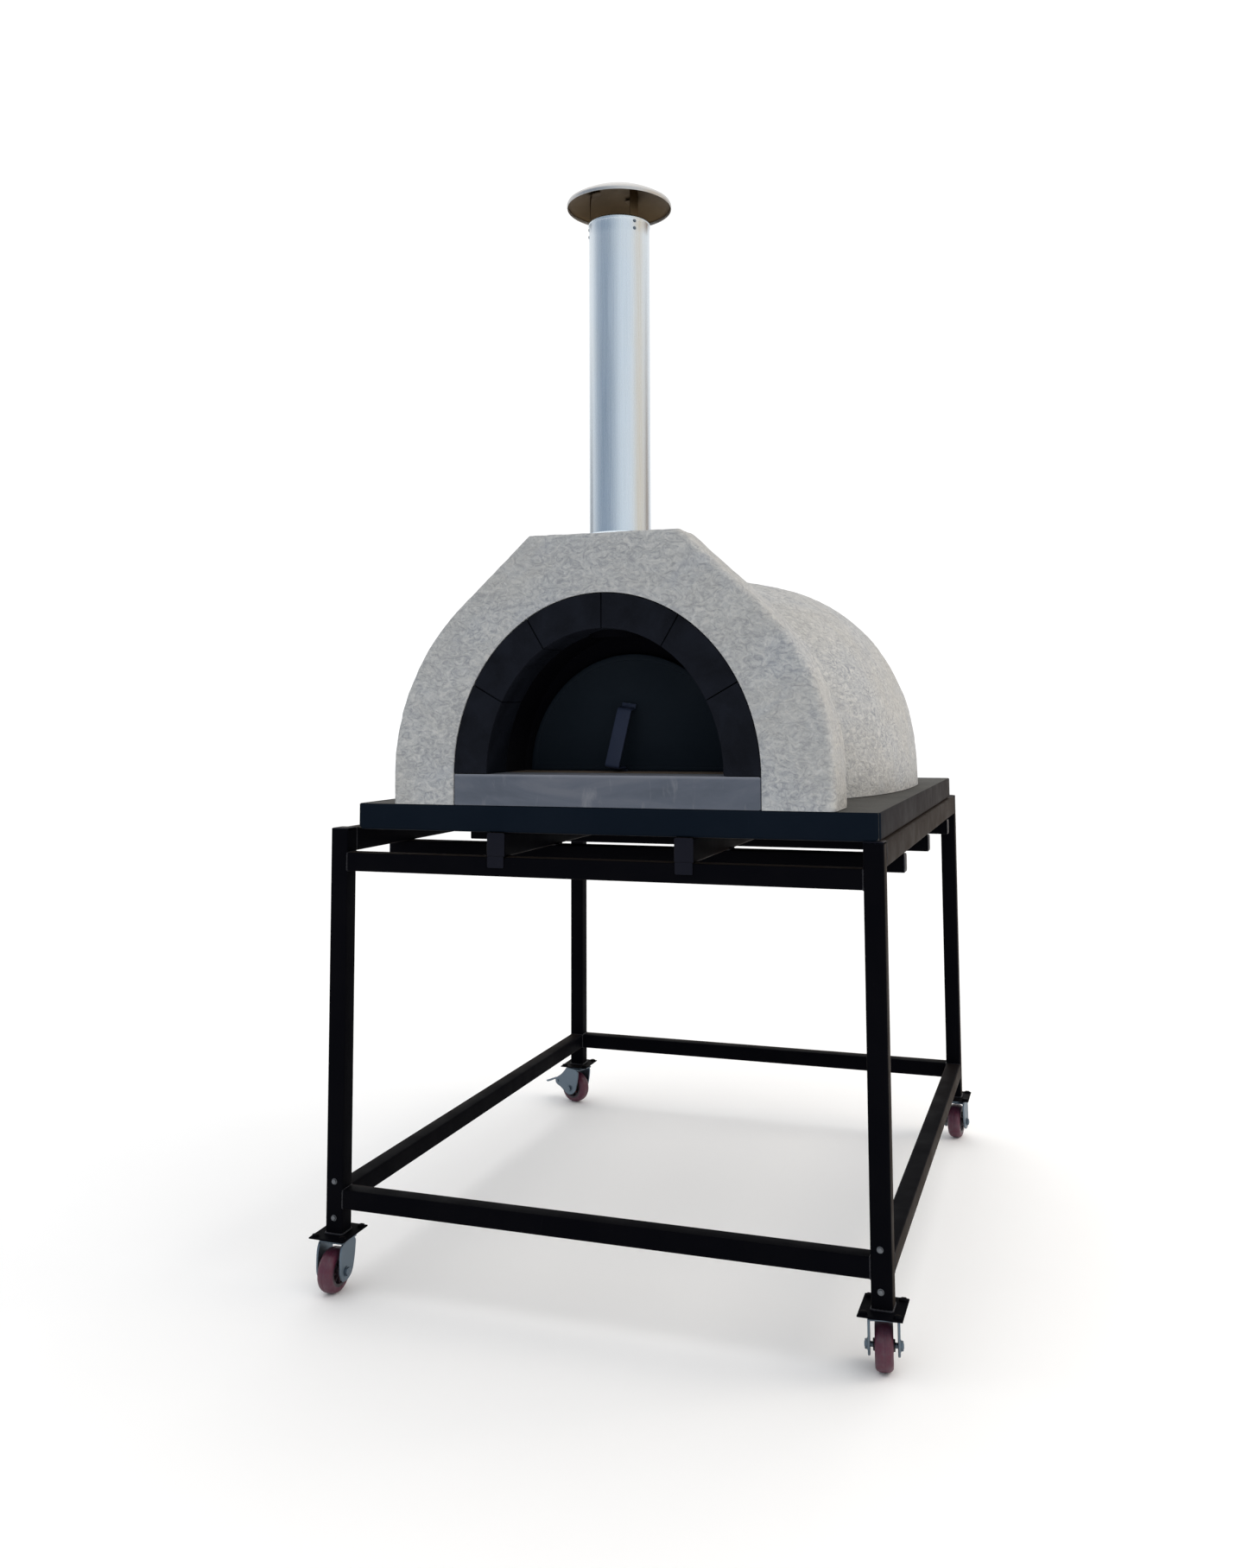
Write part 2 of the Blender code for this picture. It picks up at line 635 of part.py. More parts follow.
def fork_mesh(with_ears):
    """Crown, lower race and two side plates, with holes for kingpin, axle and pedal."""
    crown_base, crown_top = 0.1027, 0.1075
    outside = FORK_GAP / 2 + FORK_SHEET
    crown = box_mesh("caster_fork", (-0.024, -outside + 0.0005, crown_base),
                     (0.026, outside - 0.0005, crown_top))
    race = rod_mesh("race", 0.024, crown_top - 0.001, LEG_BOTTOM - GAP - PLATE_SIZE[2] - 0.0045, 24)
    ears = [(0.048, 0.083), (0.068, 0.071), (0.073, 0.060), (0.068, 0.050), (0.050, 0.044)]
    rear = ears if with_ears else [(0.037, 0.080), (0.037, 0.042)]
    side = [(-0.022, crown_top), (0.026, crown_top), *rear,
            (0.027, 0.027), (0.004, 0.027), (-0.010, 0.037), (-0.019, 0.070)]
    cheeks = []
    for y in (-outside, FORK_GAP / 2):
        cheeks.append(prism_mesh("cheek", side, y, y + FORK_SHEET))
    cutters = [rod_mesh("king_hole", KINGPIN_RADIUS + GAP, 0.09, 0.12)]
    axle_hole = rod_mesh("axle_hole", AXLE_RADIUS + GAP, -0.04, 0.04, axis="Y")
    axle_hole.transform(Matrix.Translation((TRAIL, 0, WHEEL_RADIUS)))
    cutters.append(axle_hole)
    if with_ears:
        hinge_hole = rod_mesh("hinge_hole", 0.0030 + GAP, -0.04, 0.04, 12, axis="Y")
        hinge_hole.transform(Matrix.Translation((PEDAL_PIVOT[0], 0, PEDAL_PIVOT[1])))
        cutters.append(hinge_hole)
    return baked(crown, cutters=cutters, additions=[race, *cheeks])


def axle_mesh():
    """Axle bolt with its hexagon head and nut outside the fork."""
    outside = FORK_GAP / 2 + FORK_SHEET + GAP
    shank = rod_mesh("caster_axle", AXLE_RADIUS, -outside - 0.006, outside + 0.006, axis="Y")
    head = rod_mesh("head", 0.0085, outside, outside + 0.005, 6, axis="Y")
    nut = rod_mesh("nut", 0.0085, -outside - 0.005, -outside, 6, axis="Y")
    return baked(shank, additions=[head, nut])


def wheel_meshes():
    """Core and polyurethane tread, spun round their own Z axis."""
    half = TREAD_WIDTH / 2
    bore = AXLE_RADIUS + 2 * GAP
    core_profile = [(bore, -half - 0.004), (0.010, -half - 0.004), (0.012, -0.006),
                    (0.024, -0.006), (0.026, -half), (CORE_RADIUS, -half),
                    (CORE_RADIUS, half), (0.026, half), (0.024, 0.006),
                    (0.012, 0.006), (0.010, half + 0.004), (bore, half + 0.004)]
    grip = CORE_RADIUS + GAP
    tread_profile = [(grip, -half), (WHEEL_RADIUS - 0.007, -half), (WHEEL_RADIUS - 0.0015, -half + 0.005),
                     (WHEEL_RADIUS, -0.006), (WHEEL_RADIUS, 0.006),
                     (WHEEL_RADIUS - 0.0015, half - 0.005), (WHEEL_RADIUS - 0.007, half), (grip, half)]
    meshes = []
    for name, profile in (("caster_core", core_profile), ("caster_tread", tread_profile)):
        mesh = turned_mesh(name, profile, WHEEL_SEGMENTS)
        mesh.transform(Matrix.Rotation(-pi / 2, 4, "X"))
        meshes.append(mesh)
    return meshes


def pedal_mesh():
    """Brake pedal about its own hinge pin: a barrel close over the tread and a foot plate."""
    half = FORK_GAP / 2
    pin = rod_mesh("caster_pedal", 0.0030, -half - FORK_SHEET, half + FORK_SHEET, 12, axis="Y")
    barrel = rod_mesh("barrel", 0.0042, -half + 0.002, half - 0.002, 12, axis="Y")
    profile = [(-0.001, 0.000), (0.019, -0.001), (0.050, -0.012), (0.054, -0.012),
               (0.054, -0.008), (0.020, 0.0030), (-0.001, 0.0035)]
    plate = prism_mesh("plate", profile, -0.023, 0.023)
    return baked(pin, additions=[barrel, plate])


def build_casters():
    plate = plate_mesh()
    forks = {False: fork_mesh(False), True: fork_mesh(True)}
    axle = axle_mesh()
    core, tread = wheel_meshes()
    pedal = pedal_mesh()
    for name, side, end, heading, brake in CASTERS:
        x = side * (HALF_W - TUBE / 2)
        y = end * (HALF_D - TUBE / 2)
        prefix = "caster_" + name
        fixed = link(prefix + "_plate", plate, PAINT)
        fixed.location = (x, y, 0)
        swivel = empty(prefix + "_swivel", (x, y, 0), radians(heading))
        link(prefix + "_fork", forks[brake], ZINC, swivel)
        hub = empty(prefix + "_hub", (TRAIL, 0, WHEEL_RADIUS))
        hub.parent = swivel
        link(prefix + "_axle", axle, ZINC, hub)
        link(prefix + "_core", core, WHEEL_CORE, hub)
        link(prefix + "_tread", tread, POLYURETHANE, hub)
        if brake:
            hinge = empty(prefix + "_pedal_hinge", (PEDAL_PIVOT[0], 0, PEDAL_PIVOT[1]))
            hinge.parent = swivel
            link(prefix + "_pedal", pedal, ZINC, hinge)


def main():
    clear_scene()
    build_stand()
    build_tray()
    build_front()
    build_dome()
    build_door()
    build_flue()
    build_casters()
    bpy.context.view_layer.update()


main()
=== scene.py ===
"""Looks of the wood fired pizza oven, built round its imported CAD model."""
import json
from math import atan2, cos, hypot, pi, radians, sin, sqrt

import bmesh
import bpy
from mathutils import Matrix, Vector, noise


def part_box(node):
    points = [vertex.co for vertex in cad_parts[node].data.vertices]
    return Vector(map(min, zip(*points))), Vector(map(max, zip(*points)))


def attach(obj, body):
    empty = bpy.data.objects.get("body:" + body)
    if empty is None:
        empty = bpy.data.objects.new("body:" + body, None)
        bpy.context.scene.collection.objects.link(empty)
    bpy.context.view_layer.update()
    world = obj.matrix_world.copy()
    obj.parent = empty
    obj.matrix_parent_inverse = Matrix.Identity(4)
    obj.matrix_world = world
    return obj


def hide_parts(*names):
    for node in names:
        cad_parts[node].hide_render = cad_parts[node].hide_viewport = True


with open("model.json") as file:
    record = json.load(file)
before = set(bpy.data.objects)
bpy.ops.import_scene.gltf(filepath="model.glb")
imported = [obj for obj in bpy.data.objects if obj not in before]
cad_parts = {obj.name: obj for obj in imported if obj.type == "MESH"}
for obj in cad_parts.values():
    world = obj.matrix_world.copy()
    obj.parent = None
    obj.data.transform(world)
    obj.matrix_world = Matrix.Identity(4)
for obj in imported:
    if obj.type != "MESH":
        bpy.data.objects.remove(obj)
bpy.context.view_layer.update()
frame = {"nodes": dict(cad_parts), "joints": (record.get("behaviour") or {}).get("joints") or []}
noise.seed_set(1)               # noise_vector's generator would start from the clock
NODES = frame["nodes"]
OVEN = "oven"


# ---------------------------------------------------------------- places taken from the CAD
def low(node):
    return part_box(node)[0]


def high(node):
    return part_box(node)[1]


FRONT = low("facade").y
OVEN_X = (low("facade").x + high("facade").x) / 2
FOOT = low("facade").z
HEARTH = high("hearth_sill").z
FACADE_TOP = high("facade").z
FLUE = (low("flue_pipe") + high("flue_pipe")) / 2
FLUE_R = (high("flue_pipe").x - low("flue_pipe").x) / 2
PIPE_TOP = high("flue_pipe").z
CAP_R = (high("rain_cap").x - low("rain_cap").x) / 2
CAP_TOP = high("rain_cap").z
CAP_RISE = 0.038
CAP_RIM = CAP_TOP - CAP_RISE


# ---------------------------------------------------------------- materials
class Tree:
    """A node tree written as a chain of short calls."""

    def __init__(self, tree, shader):
        self.tree = tree
        self.shader = tree.nodes[shader]

    def give(self, socket, value):
        """Link another node's output to a socket, or set its value."""
        if isinstance(value, bpy.types.NodeSocket):
            self.tree.links.new(value, socket)
        else:
            socket.default_value = value

    def set(self, name, value):
        self.give(self.shader.inputs[name], value)

    def node(self, kind, **inputs):
        made = self.tree.nodes.new("ShaderNode" + kind)
        for key, value in inputs.items():
            self.give(made.inputs[key], value)
        return made

    def level(self, value, start, end, first=0.0, last=1.0):
        made = self.node("MapRange")
        for socket, number in zip(made.inputs, (value, start, end, first, last)):
            self.give(socket, number)
        return made.outputs[0]

    def mix(self, factor, first, second):
        made = self.node("Mix")
        made.data_type = "RGBA"
        for key, value in ((0, factor), (6, first), (7, second)):
            self.give(made.inputs[key], (*value, 1.0) if isinstance(value, tuple) else value)
        return made.outputs[2]


class Material(Tree):
    def __init__(self, name, rough=0.5, metal=0.0):
        self.mat = bpy.data.materials.new(name)
        self.mat.use_nodes = True
        super().__init__(self.mat.node_tree, "Principled BSDF")
        self.set("Roughness", rough)
        self.set("Metallic", metal)
        self.coords = self.node("TexCoord").outputs["Object"]
        self.bumps = None

    def noise(self, scale, detail=4.0, rough=0.55, distortion=0.0, stretch=None):
        vector = self.coords
        if stretch:
            vector = self.node("Mapping", Vector=vector, Scale=stretch).outputs[0]
        made = self.node("TexNoise", Vector=vector, Scale=scale, Detail=detail,
                         Roughness=rough, Distortion=distortion)
        return made.outputs["Fac"]

    def cells(self, scale):
        return self.node("TexVoronoi", Vector=self.coords, Scale=scale).outputs["Distance"]

    def height(self):
        return self.node("SeparateXYZ", Vector=self.coords).outputs["Z"]

    def ramp(self, value, stops):
        made = self.node("ValToRGB")
        self.give(made.inputs[0], value)
        band = made.color_ramp.elements
        while len(band) < len(stops):
            band.new(0.5)
        for element, (place, colour) in zip(band, stops):
            element.position = place
            element.color = (*colour, 1.0)
        return made.outputs[0]

    def tint(self, base, value, start, end, amount, colour):
        """Lay a colour over the base as a value rises from start to end."""
        return self.mix(self.level(value, start, end, 0.0, amount), base, colour)

    def bump(self, value, strength, distance):
        made = self.node("Bump", Height=value, Strength=strength, Distance=distance)
        if self.bumps is not None:
            self.give(made.inputs["Normal"], self.bumps)
        self.bumps = made.outputs[0]
        self.set("Normal", self.bumps)


def stucco_material():
    """Grey cement render: trowel strokes, sandy grain, and pale and dark blotches."""
    m = Material("stucco", 0.92)
    m.set("Specular IOR Level", 0.25)
    stroke = m.noise(46, 5, 0.66, 2.1, (0.85, 0.85, 1.35))
    cloud = m.noise(4.2, 3, 0.5, 0.4)
    grain = m.noise(170, 3, 0.7)
    base = m.ramp(stroke, [(0.36, (0.262, 0.272, 0.290)), (0.50, (0.385, 0.393, 0.400)),
                           (0.65, (0.505, 0.503, 0.492))])
    base = m.tint(base, cloud, 0.38, 0.70, 0.45, (0.43, 0.41, 0.37))
    base = m.tint(base, m.noise(9, 4, 0.6, 0.8), 0.52, 0.72, 0.35, (0.355, 0.375, 0.41))
    base = m.tint(base, grain, 0.54, 0.70, 0.45, (0.235, 0.240, 0.247))
    base = m.tint(base, m.noise(110, 2, 0.6, 0.6), 0.58, 0.70, 0.40, (0.57, 0.57, 0.56))
    m.set("Base Color", base)
    m.bump(m.noise(20, 4, 0.55, 2.0), 0.5, 0.006)
    m.bump(stroke, 0.8, 0.0045)
    m.bump(grain, 0.6, 0.0016)
    m.bump(m.cells(380), 0.25, 0.0006)
    return m.mat


def paint_material(name, colour, rough=0.55, grain=1.0, gloss=1.06, painted_reflection=0.5):
    """Sprayed black paint on steel: a painted warm reflection at grazing angles, faint orange peel, dust
    in the hollows.
    """
    m = Material(name, rough)
    dusty = tuple(c * 1.5 + w for c, w in zip(colour, (0.0030, 0.0022, 0.0014)))
    scuffed = tuple(c * 2.4 + 0.006 for c in colour)
    base = m.tint(colour, m.noise(7, 5, 0.6), 0.42, 0.80, 0.30, dusty)
    base = m.tint(base, m.noise(26, 6, 0.75, 0.8, (1, 1, 0.22)), 0.66, 0.76, 0.35, scuffed)
    # Painted reflection: a warm brown laid over the colour where the surface is seen at a grazing angle,
    # standing for the warm side light glancing off the paint.
    facing = m.node("LayerWeight", Blend=0.5).outputs["Facing"]
    base = m.tint(base, facing, 0.70, 0.92, painted_reflection, (0.060, 0.046, 0.036))
    m.set("Base Color", base)
    m.set("Roughness", m.level(m.noise(11, 4, 0.6), 0.3, 0.75, rough - 0.08, rough + 0.14))
    m.set("IOR", gloss)
    m.bump(m.noise(620, 2, 0.5), 0.10 * grain, 0.0006)
    m.bump(m.noise(48, 3, 0.5), 0.05 * grain, 0.002)
    return m.mat


def steel_material(name, colour, rough=0.26, streak=(1, 1, 0.012), tint=(0.62, 0.56, 0.50)):
    """Bare sheet steel with fine rolling lines, smears and a little heat tint."""
    m = Material(name, rough, 1.0)
    lines = m.noise(420, 3, 0.6, 0.0, streak)
    smear = m.noise(6, 4, 0.6, 0.8)
    base = m.ramp(lines, [(0.25, tuple(c * 0.90 for c in colour)), (0.75, colour)])
    base = m.tint(base, smear, 0.45, 0.75, 0.40, tint)
    m.set("Base Color", base)
    m.set("Roughness", m.level(lines, 0.2, 0.8, rough - 0.05, rough + 0.12))
    m.set("Anisotropic", 0.35)
    m.bump(lines, 0.05, 0.0004)
    m.bump(smear, 0.04, 0.004)
    return m.mat


def brick_material():
    """Black arch brick: near black, slightly blue, with soot and small pits."""
    m = Material("arch_brick", 0.62)
    blotch = m.noise(13, 5, 0.6, 0.5)
    base = m.ramp(blotch, [(0.3, (0.0042, 0.0048, 0.0070)), (0.7, (0.0092, 0.0108, 0.0160))])
    base = m.tint(base, m.noise(150, 3, 0.7), 0.60, 0.72, 0.5, (0.014, 0.016, 0.021))
    m.set("Base Color", base)
    m.set("Roughness", m.level(blotch, 0.3, 0.7, 0.50, 0.72))
    m.set("IOR", 1.12)
    m.bump(m.noise(85, 4, 0.65), 0.28, 0.0022)
    m.bump(m.cells(160), 0.12, 0.0008)
    return m.mat


def soot_material(name, clean, sooty, reach):
    """Refractory that blackens from the cooking floor up to a height above it."""
    m = Material(name, 0.9)
    grain = m.noise(38, 5, 0.65)
    base = m.mix(m.level(grain, 0.35, 0.7), clean, tuple(c * 0.72 for c in clean))
    smoke = m.level(m.height(), HEARTH, HEARTH + reach, 0.35, 1.0)
    m.set("Base Color", m.mix(smoke, base, sooty))
    m.set("IOR", 1.10)
    m.bump(grain, 0.3, 0.004)
    m.bump(m.noise(210, 3, 0.7), 0.3, 0.0015)
    return m.mat


def slate_material():
    """Honed blue grey hearth stone with drag marks, ash smears and a painted highlight along its top
    edge.
    """
    m = Material("hearth_stone", 0.55)
    veins = m.noise(5, 6, 0.6, 1.2, (0.7, 1, 2.4))
    base = m.ramp(veins, [(0.28, (0.050, 0.061, 0.082)), (0.5, (0.073, 0.085, 0.112)),
                          (0.72, (0.108, 0.117, 0.142))])
    marks = m.noise(17, 4, 0.6, 2.0, (1.0, 1, 0.28))
    base = m.tint(base, marks, 0.60, 0.72, 0.45, (0.20, 0.205, 0.225))
    # Painted highlight: a paler band over the top few millimetres of the sill, where the edge catches the
    # light.
    base = m.tint(base, m.height(), HEARTH - 0.006, HEARTH - 0.001, 0.55, (0.21, 0.22, 0.25))
    m.set("Base Color", base)
    m.set("Roughness", m.level(veins, 0.3, 0.7, 0.46, 0.66))
    m.bump(m.noise(130, 4, 0.6), 0.18, 0.0012)
    m.bump(veins, 0.10, 0.003)
    return m.mat


def slab_material():
    """Dark cast slab in the tray, dusty and a little brown."""
    m = Material("cast_slab", 0.85)
    patch = m.noise(6, 5, 0.6, 0.6)
    base = m.ramp(patch, [(0.3, (0.026, 0.025, 0.022)), (0.55, (0.040, 0.038, 0.033)),
                          (0.75, (0.062, 0.059, 0.051))])
    base = m.tint(base, m.noise(180, 3, 0.7), 0.56, 0.72, 0.4, (0.10, 0.097, 0.088))
    m.set("Base Color", base)
    m.bump(m.noise(60, 5, 0.65), 0.35, 0.003)
    m.bump(m.noise(330, 2, 0.6), 0.25, 0.0010)
    return m.mat


def rubber_material(name, colour, worn):
    """Moulded polyurethane: slightly soft gloss, floor dust worn into the tread."""
    m = Material(name, 0.42)
    m.set("Base Color", m.tint(colour, m.noise(55, 5, 0.65), 0.40, 0.72, 0.75, worn))
    m.set("Roughness", m.level(m.noise(90, 3, 0.6), 0.3, 0.7, 0.34, 0.62))
    m.set("Subsurface Weight", 0.05)
    m.bump(m.noise(300, 3, 0.6), 0.15, 0.0006)
    return m.mat


def fibre_material():
    m = Material("ceramic_fibre", 1.0)
    fluff = m.noise(120, 5, 0.7, 1.5)
    m.set("Base Color", m.ramp(fluff, [(0.3, (0.60, 0.59, 0.55)), (0.7, (0.80, 0.79, 0.75))]))
    m.bump(m.noise(260, 4, 0.7, 1.0), 0.5, 0.002)
    return m.mat


def weld_material():
    """Painted weld metal: the paint is thinner and shinier over the ripples."""
    m = Material("painted_weld", 0.36)
    m.set("Specular IOR Level", 0.2)
    thin = m.noise(90, 4, 0.6)
    m.set("Base Color", m.ramp(thin, [(0.3, (0.006, 0.006, 0.009)), (0.7, (0.016, 0.016, 0.020))]))
    m.bump(m.noise(700, 2, 0.6), 0.3, 0.0006)
    return m.mat


def floor_material():
    m = Material("studio_floor", 0.75)
    m.set("Base Color", m.ramp(m.noise(1.2, 3, 0.5), [(0.3, (0.93,) * 3), (0.7, (0.95,) * 3)]))
    m.bump(m.noise(160, 2, 0.5), 0.03, 0.001)
    return m.mat


BLACK = (0.0021, 0.0022, 0.0034)
MATS = {
    "stucco": stucco_material(),
    "paint": paint_material("black_paint", BLACK),
    "tray": paint_material("tray_paint", (0.0048, 0.0080, 0.0135), 0.56, 1.0, 1.05, 0.42),
    "plastic": paint_material("black_plastic", (0.0065, 0.0070, 0.0120), 0.48, 1.6, 1.15),
    "door": paint_material("door_paint", (0.0092, 0.0135, 0.0190), 0.55, 2.0, 1.12, 0.0),
    "handle": paint_material("handle_paint", (0.0230, 0.0300, 0.0540), 0.45, 1.4, 1.2, 0.0),
    "steel": steel_material("stainless_sheet", (0.66, 0.73, 0.79), 0.24, tint=(0.64, 0.68, 0.70)),
    "cap": steel_material("stainless_cap", (0.56, 0.555, 0.55), 0.30, (1, 1, 1),
                          (0.50, 0.47, 0.43)),
    # Dark brown steel for the faces under the rain cap and for its straps: painted shade under the cap.
    "cap_painted_shade": steel_material("steel_painted_shade", (0.100, 0.068, 0.036), 0.46, (1, 1, 1),
                               (0.050, 0.036, 0.022)),
    "bolt": steel_material("dull_zinc", (0.155, 0.165, 0.180), 0.45, (1, 1, 1), (0.10, 0.10, 0.11)),
    "zinc": steel_material("zinc_plate", (0.150, 0.190, 0.230), 0.38, (1, 1, 0.3),
                           (0.085, 0.115, 0.150)),
    "brick": brick_material(),
    "slate": slate_material(),
    "slab": slab_material(),
    "lining": soot_material("sooty_lining", (0.012, 0.012, 0.014), (0.0022, 0.0022, 0.0036), 0.12),
    "refractory": soot_material("refractory", (0.30, 0.24, 0.18), (0.022, 0.019, 0.017), 0.30),
    "firebrick": soot_material("floor_brick", (0.26, 0.20, 0.15), (0.05, 0.042, 0.036), 1.0),
    "fibre": fibre_material(),
    "weld": weld_material(),
    "tread": rubber_material("urethane_tread", (0.072, 0.008, 0.026), (0.072, 0.036, 0.052)),
    "core": rubber_material("wheel_core", (0.022, 0.010, 0.016), (0.040, 0.032, 0.040)),
}


# ---------------------------------------------------------------- mesh tools
def piece(name, bm, look, body=OVEN, stands_for=(), sharp=40):
    """A new object that rides on a body and may stand for CAD nodes."""
    bmesh.ops.recalc_face_normals(bm, faces=bm.faces)
    mesh = bpy.data.meshes.new(name)
    bm.to_mesh(mesh)
    bm.free()
    mesh.materials.append(MATS[look])
    mesh.shade_smooth()
    mesh.set_sharp_from_angle(angle=radians(sharp))
    obj = bpy.data.objects.new(name, mesh)
    bpy.context.scene.collection.objects.link(obj)
    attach(obj, body)
    if isinstance(stands_for, str):
        stands_for = (stands_for,)
    if stands_for:
        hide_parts(*stands_for)
    return obj


def rounded(obj, width, segments=2, angle=35):
    mod = obj.modifiers.new("edge", "BEVEL")
    mod.width = width
    mod.segments = segments
    mod.limit_method = "ANGLE"
    mod.angle_limit = radians(angle)
    return obj


def dress(node, look, width=0.0, segments=2):
    """Give a CAD node its material, joined vertices and slightly rounded edges."""
    obj = NODES[node]
    obj.data.materials.clear()
    obj.data.materials.append(MATS[look])
    weld = obj.modifiers.new("weld", "WELD")
    weld.merge_threshold = 0.00002
    if width:
        rounded(obj, width, segments)
    return obj


def skin(bm, rows, closed=False, cap_first=False, cap_last=False):
    """Faces over rows of points.  A closed row joins its last point to its first."""
    made = [[bm.verts.new(p) for p in row] for row in rows]
    count = len(made[0])
    for a, b in zip(made, made[1:]):
        for i in range(count if closed else count - 1):
            j = (i + 1) % count
            bm.faces.new((a[i], a[j], b[j], b[i]))
    if cap_first:
        bm.faces.new(made[0])
    if cap_last:
        bm.faces.new(made[-1])
    return made


def solid(bm, rows):
    return skin(bm, rows, closed=True, cap_first=True, cap_last=True)


def cut(bm, gone):
    """Delete the faces whose middle passes the test."""
    faces = [f for f in bm.faces if gone(f.calc_center_median())]
    bmesh.ops.delete(bm, geom=faces, context="FACES")


def near_flue(co, radius):
    return hypot(co.x - FLUE.x, co.y - FLUE.y) < radius


def frames(path):
    """Each point of a path in a plane, with the unit vector along the path there."""
    for i, point in enumerate(path):
        a, b = Vector(path[max(i - 1, 0)]), Vector(path[min(i + 1, len(path) - 1)])
        yield point, (b - a).normalized()


def turned(name, profile, look, body=OVEN, stands_for=(), segments=72, matrix=None, closed=True,
           sharp=40):
    """Spin (radius, height) points round Z.  A closed profile makes a ring."""
    bm = bmesh.new()
    made = []
    for k in range(segments):
        a = 2 * pi * k / segments
        made.append([bm.verts.new((r * cos(a), r * sin(a), z)) for r, z in profile])
    count = len(profile)
    for k in range(segments):
        first, second = made[k], made[(k + 1) % segments]
        for i in range(count if closed else count - 1):
            j = (i + 1) % count
            bm.faces.new((first[i], second[i], second[j], first[j]))
    bmesh.ops.remove_doubles(bm, verts=bm.verts, dist=1e-6)
    if matrix is not None:
        bmesh.ops.transform(bm, matrix=matrix, verts=bm.verts)
    return piece(name, bm, look, body, stands_for, sharp=sharp)


def mm(*points):
    """Points given in millimetres."""
    return [(a / 1000, b / 1000) for a, b in points]


def round_rect(half_x, half_y, radius, steps=4):
    """Points of a rectangle with rounded corners, anticlockwise."""
    points = []
    for cx, cy, start in ((1, 1, 0), (-1, 1, 90), (-1, -1, 180), (1, -1, 270)):
        for k in range(steps + 1):
            a = radians(start + 90 * k / steps)
            points.append((cx * (half_x - radius) + radius * cos(a),
                           cy * (half_y - radius) + radius * sin(a)))
    return points


def rods(name, places, radius, height, look, body=OVEN, sides=6):
    """Bolt heads with washers at (point, direction): hexagonal, or round where sides isn't 6."""
    bm = bmesh.new()
    angles = [2 * pi * k / 24 for k in range(24)]
    for point, direction in places:
        turn = Vector(direction).to_track_quat("Z", "Y").to_matrix().to_4x4()
        move = Matrix.Translation(point) @ turn
        rows = []
        for wide, tall in ((1.35, 0), (1.35, 0.16), (1.02, 0.2), (1, 0.86), (0.88, 1),
                           (0.45, 1 + HEAD_DOME)):
            r, z = radius * wide, height * tall
            around = wide > 1.3 or sides != 6
            rows.append([move @ Vector((r * cos(a), r * sin(a), z) if around else (*hex_point(r, a),
                                                                                   z))
                         for a in angles])
        solid(bm, rows)
    return piece(name, bm, look, body, sharp=30)


HEAD_DOME = 0.075                # rise of a bolt head's crown, as a share of its height


def hex_point(radius, angle):
    """Point of a hexagon with the given flat radius, at an angle."""
    sector = (angle % (pi / 3)) - pi / 6
    reach = radius * cos(pi / 6) * 1.12 / cos(sector)
    return reach * cos(angle), reach * sin(angle)


def roughen(bm, amount, scale, seed, keep=None):
    """Push vertices in and out along their normals like hand trowelled render."""
    bm.normal_update()
    offset = Vector((seed, seed * 0.7, seed * 1.3))
    moves = []
    for v in bm.verts:
        if keep is not None and keep(v.co):
            moves.append(0.0)
            continue
        warp = noise.noise_vector(v.co * scale * 0.5 + offset) * 0.6
        broad = noise.noise(v.co * scale * 0.28 + offset)
        stroke = noise.noise((v.co * scale) + warp + offset)
        fine = noise.noise(v.co * scale * 2.7 + offset)
        moves.append(amount * (0.8 * broad + 0.55 * stroke + 0.25 * fine))
    for v, move in zip(bm.verts, moves):
        v.co += v.normal * move


# ---------------------------------------------------------------- stand
TUBE_CORNER = 0.0045            # outer corner radius of the square tube


def tube_axes(size):
    """The axis that a tube runs along, and the two across it."""
    along = max(range(3), key=lambda k: size[k])
    return along, [k for k in range(3) if k != along]


def tube_piece(node, wall=0.002):
    """Cold formed tube with round corners, open at both ends, in place of a CAD tube."""
    lo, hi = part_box(node)
    size = hi - lo
    along, across = tube_axes(size)
    middle = (lo + hi) / 2
    halves = [size[k] / 2 for k in across]
    outer = round_rect(*halves, TUBE_CORNER)
    inner = round_rect(halves[0] - wall, halves[1] - wall, TUBE_CORNER - wall)

    def row(points, end):
        made = []
        for p, q in points:
            co = [0.0, 0.0, 0.0]
            co[along] = end
            co[across[0]] = middle[across[0]] + p
            co[across[1]] = middle[across[1]] + q
            made.append(tuple(co))
        return made

    bm = bmesh.new()
    a, b = lo[along], hi[along]
    rows = [row(inner, a), row(outer, a), row(outer, b), row(inner, b), row(inner, a)]
    skin(bm, rows, closed=True)
    bmesh.ops.remove_doubles(bm, verts=bm.verts, dist=1e-6)
    return piece(node + "_tube", bm, "paint", OVEN, node, sharp=30)


def plug(name, centre, direction, half_a, half_b, up, thick=0.003):
    """Moulded end cap of a tube: a lip the size of the tube with a crowned face."""
    axis = Vector(direction)
    side = Vector(up).cross(axis)
    bm = bmesh.new()
    rows = []
    for shrink, rise in ((0.0, -0.002), (0.0, thick * 0.45), (0.0009, thick * 0.8), (0.0028, thick),
                         (0.008, thick * 1.25), (0.014, thick * 1.35)):
        outline = round_rect(half_a - shrink, half_b - shrink,
                             max(TUBE_CORNER - shrink * 0.2, 0.002))
        rows.append([Vector(centre) + side * p + Vector(up) * q + axis * rise for p, q in outline])
    skin(bm, rows, closed=True, cap_last=True)
    return piece(name, bm, "plastic", OVEN, sharp=50)


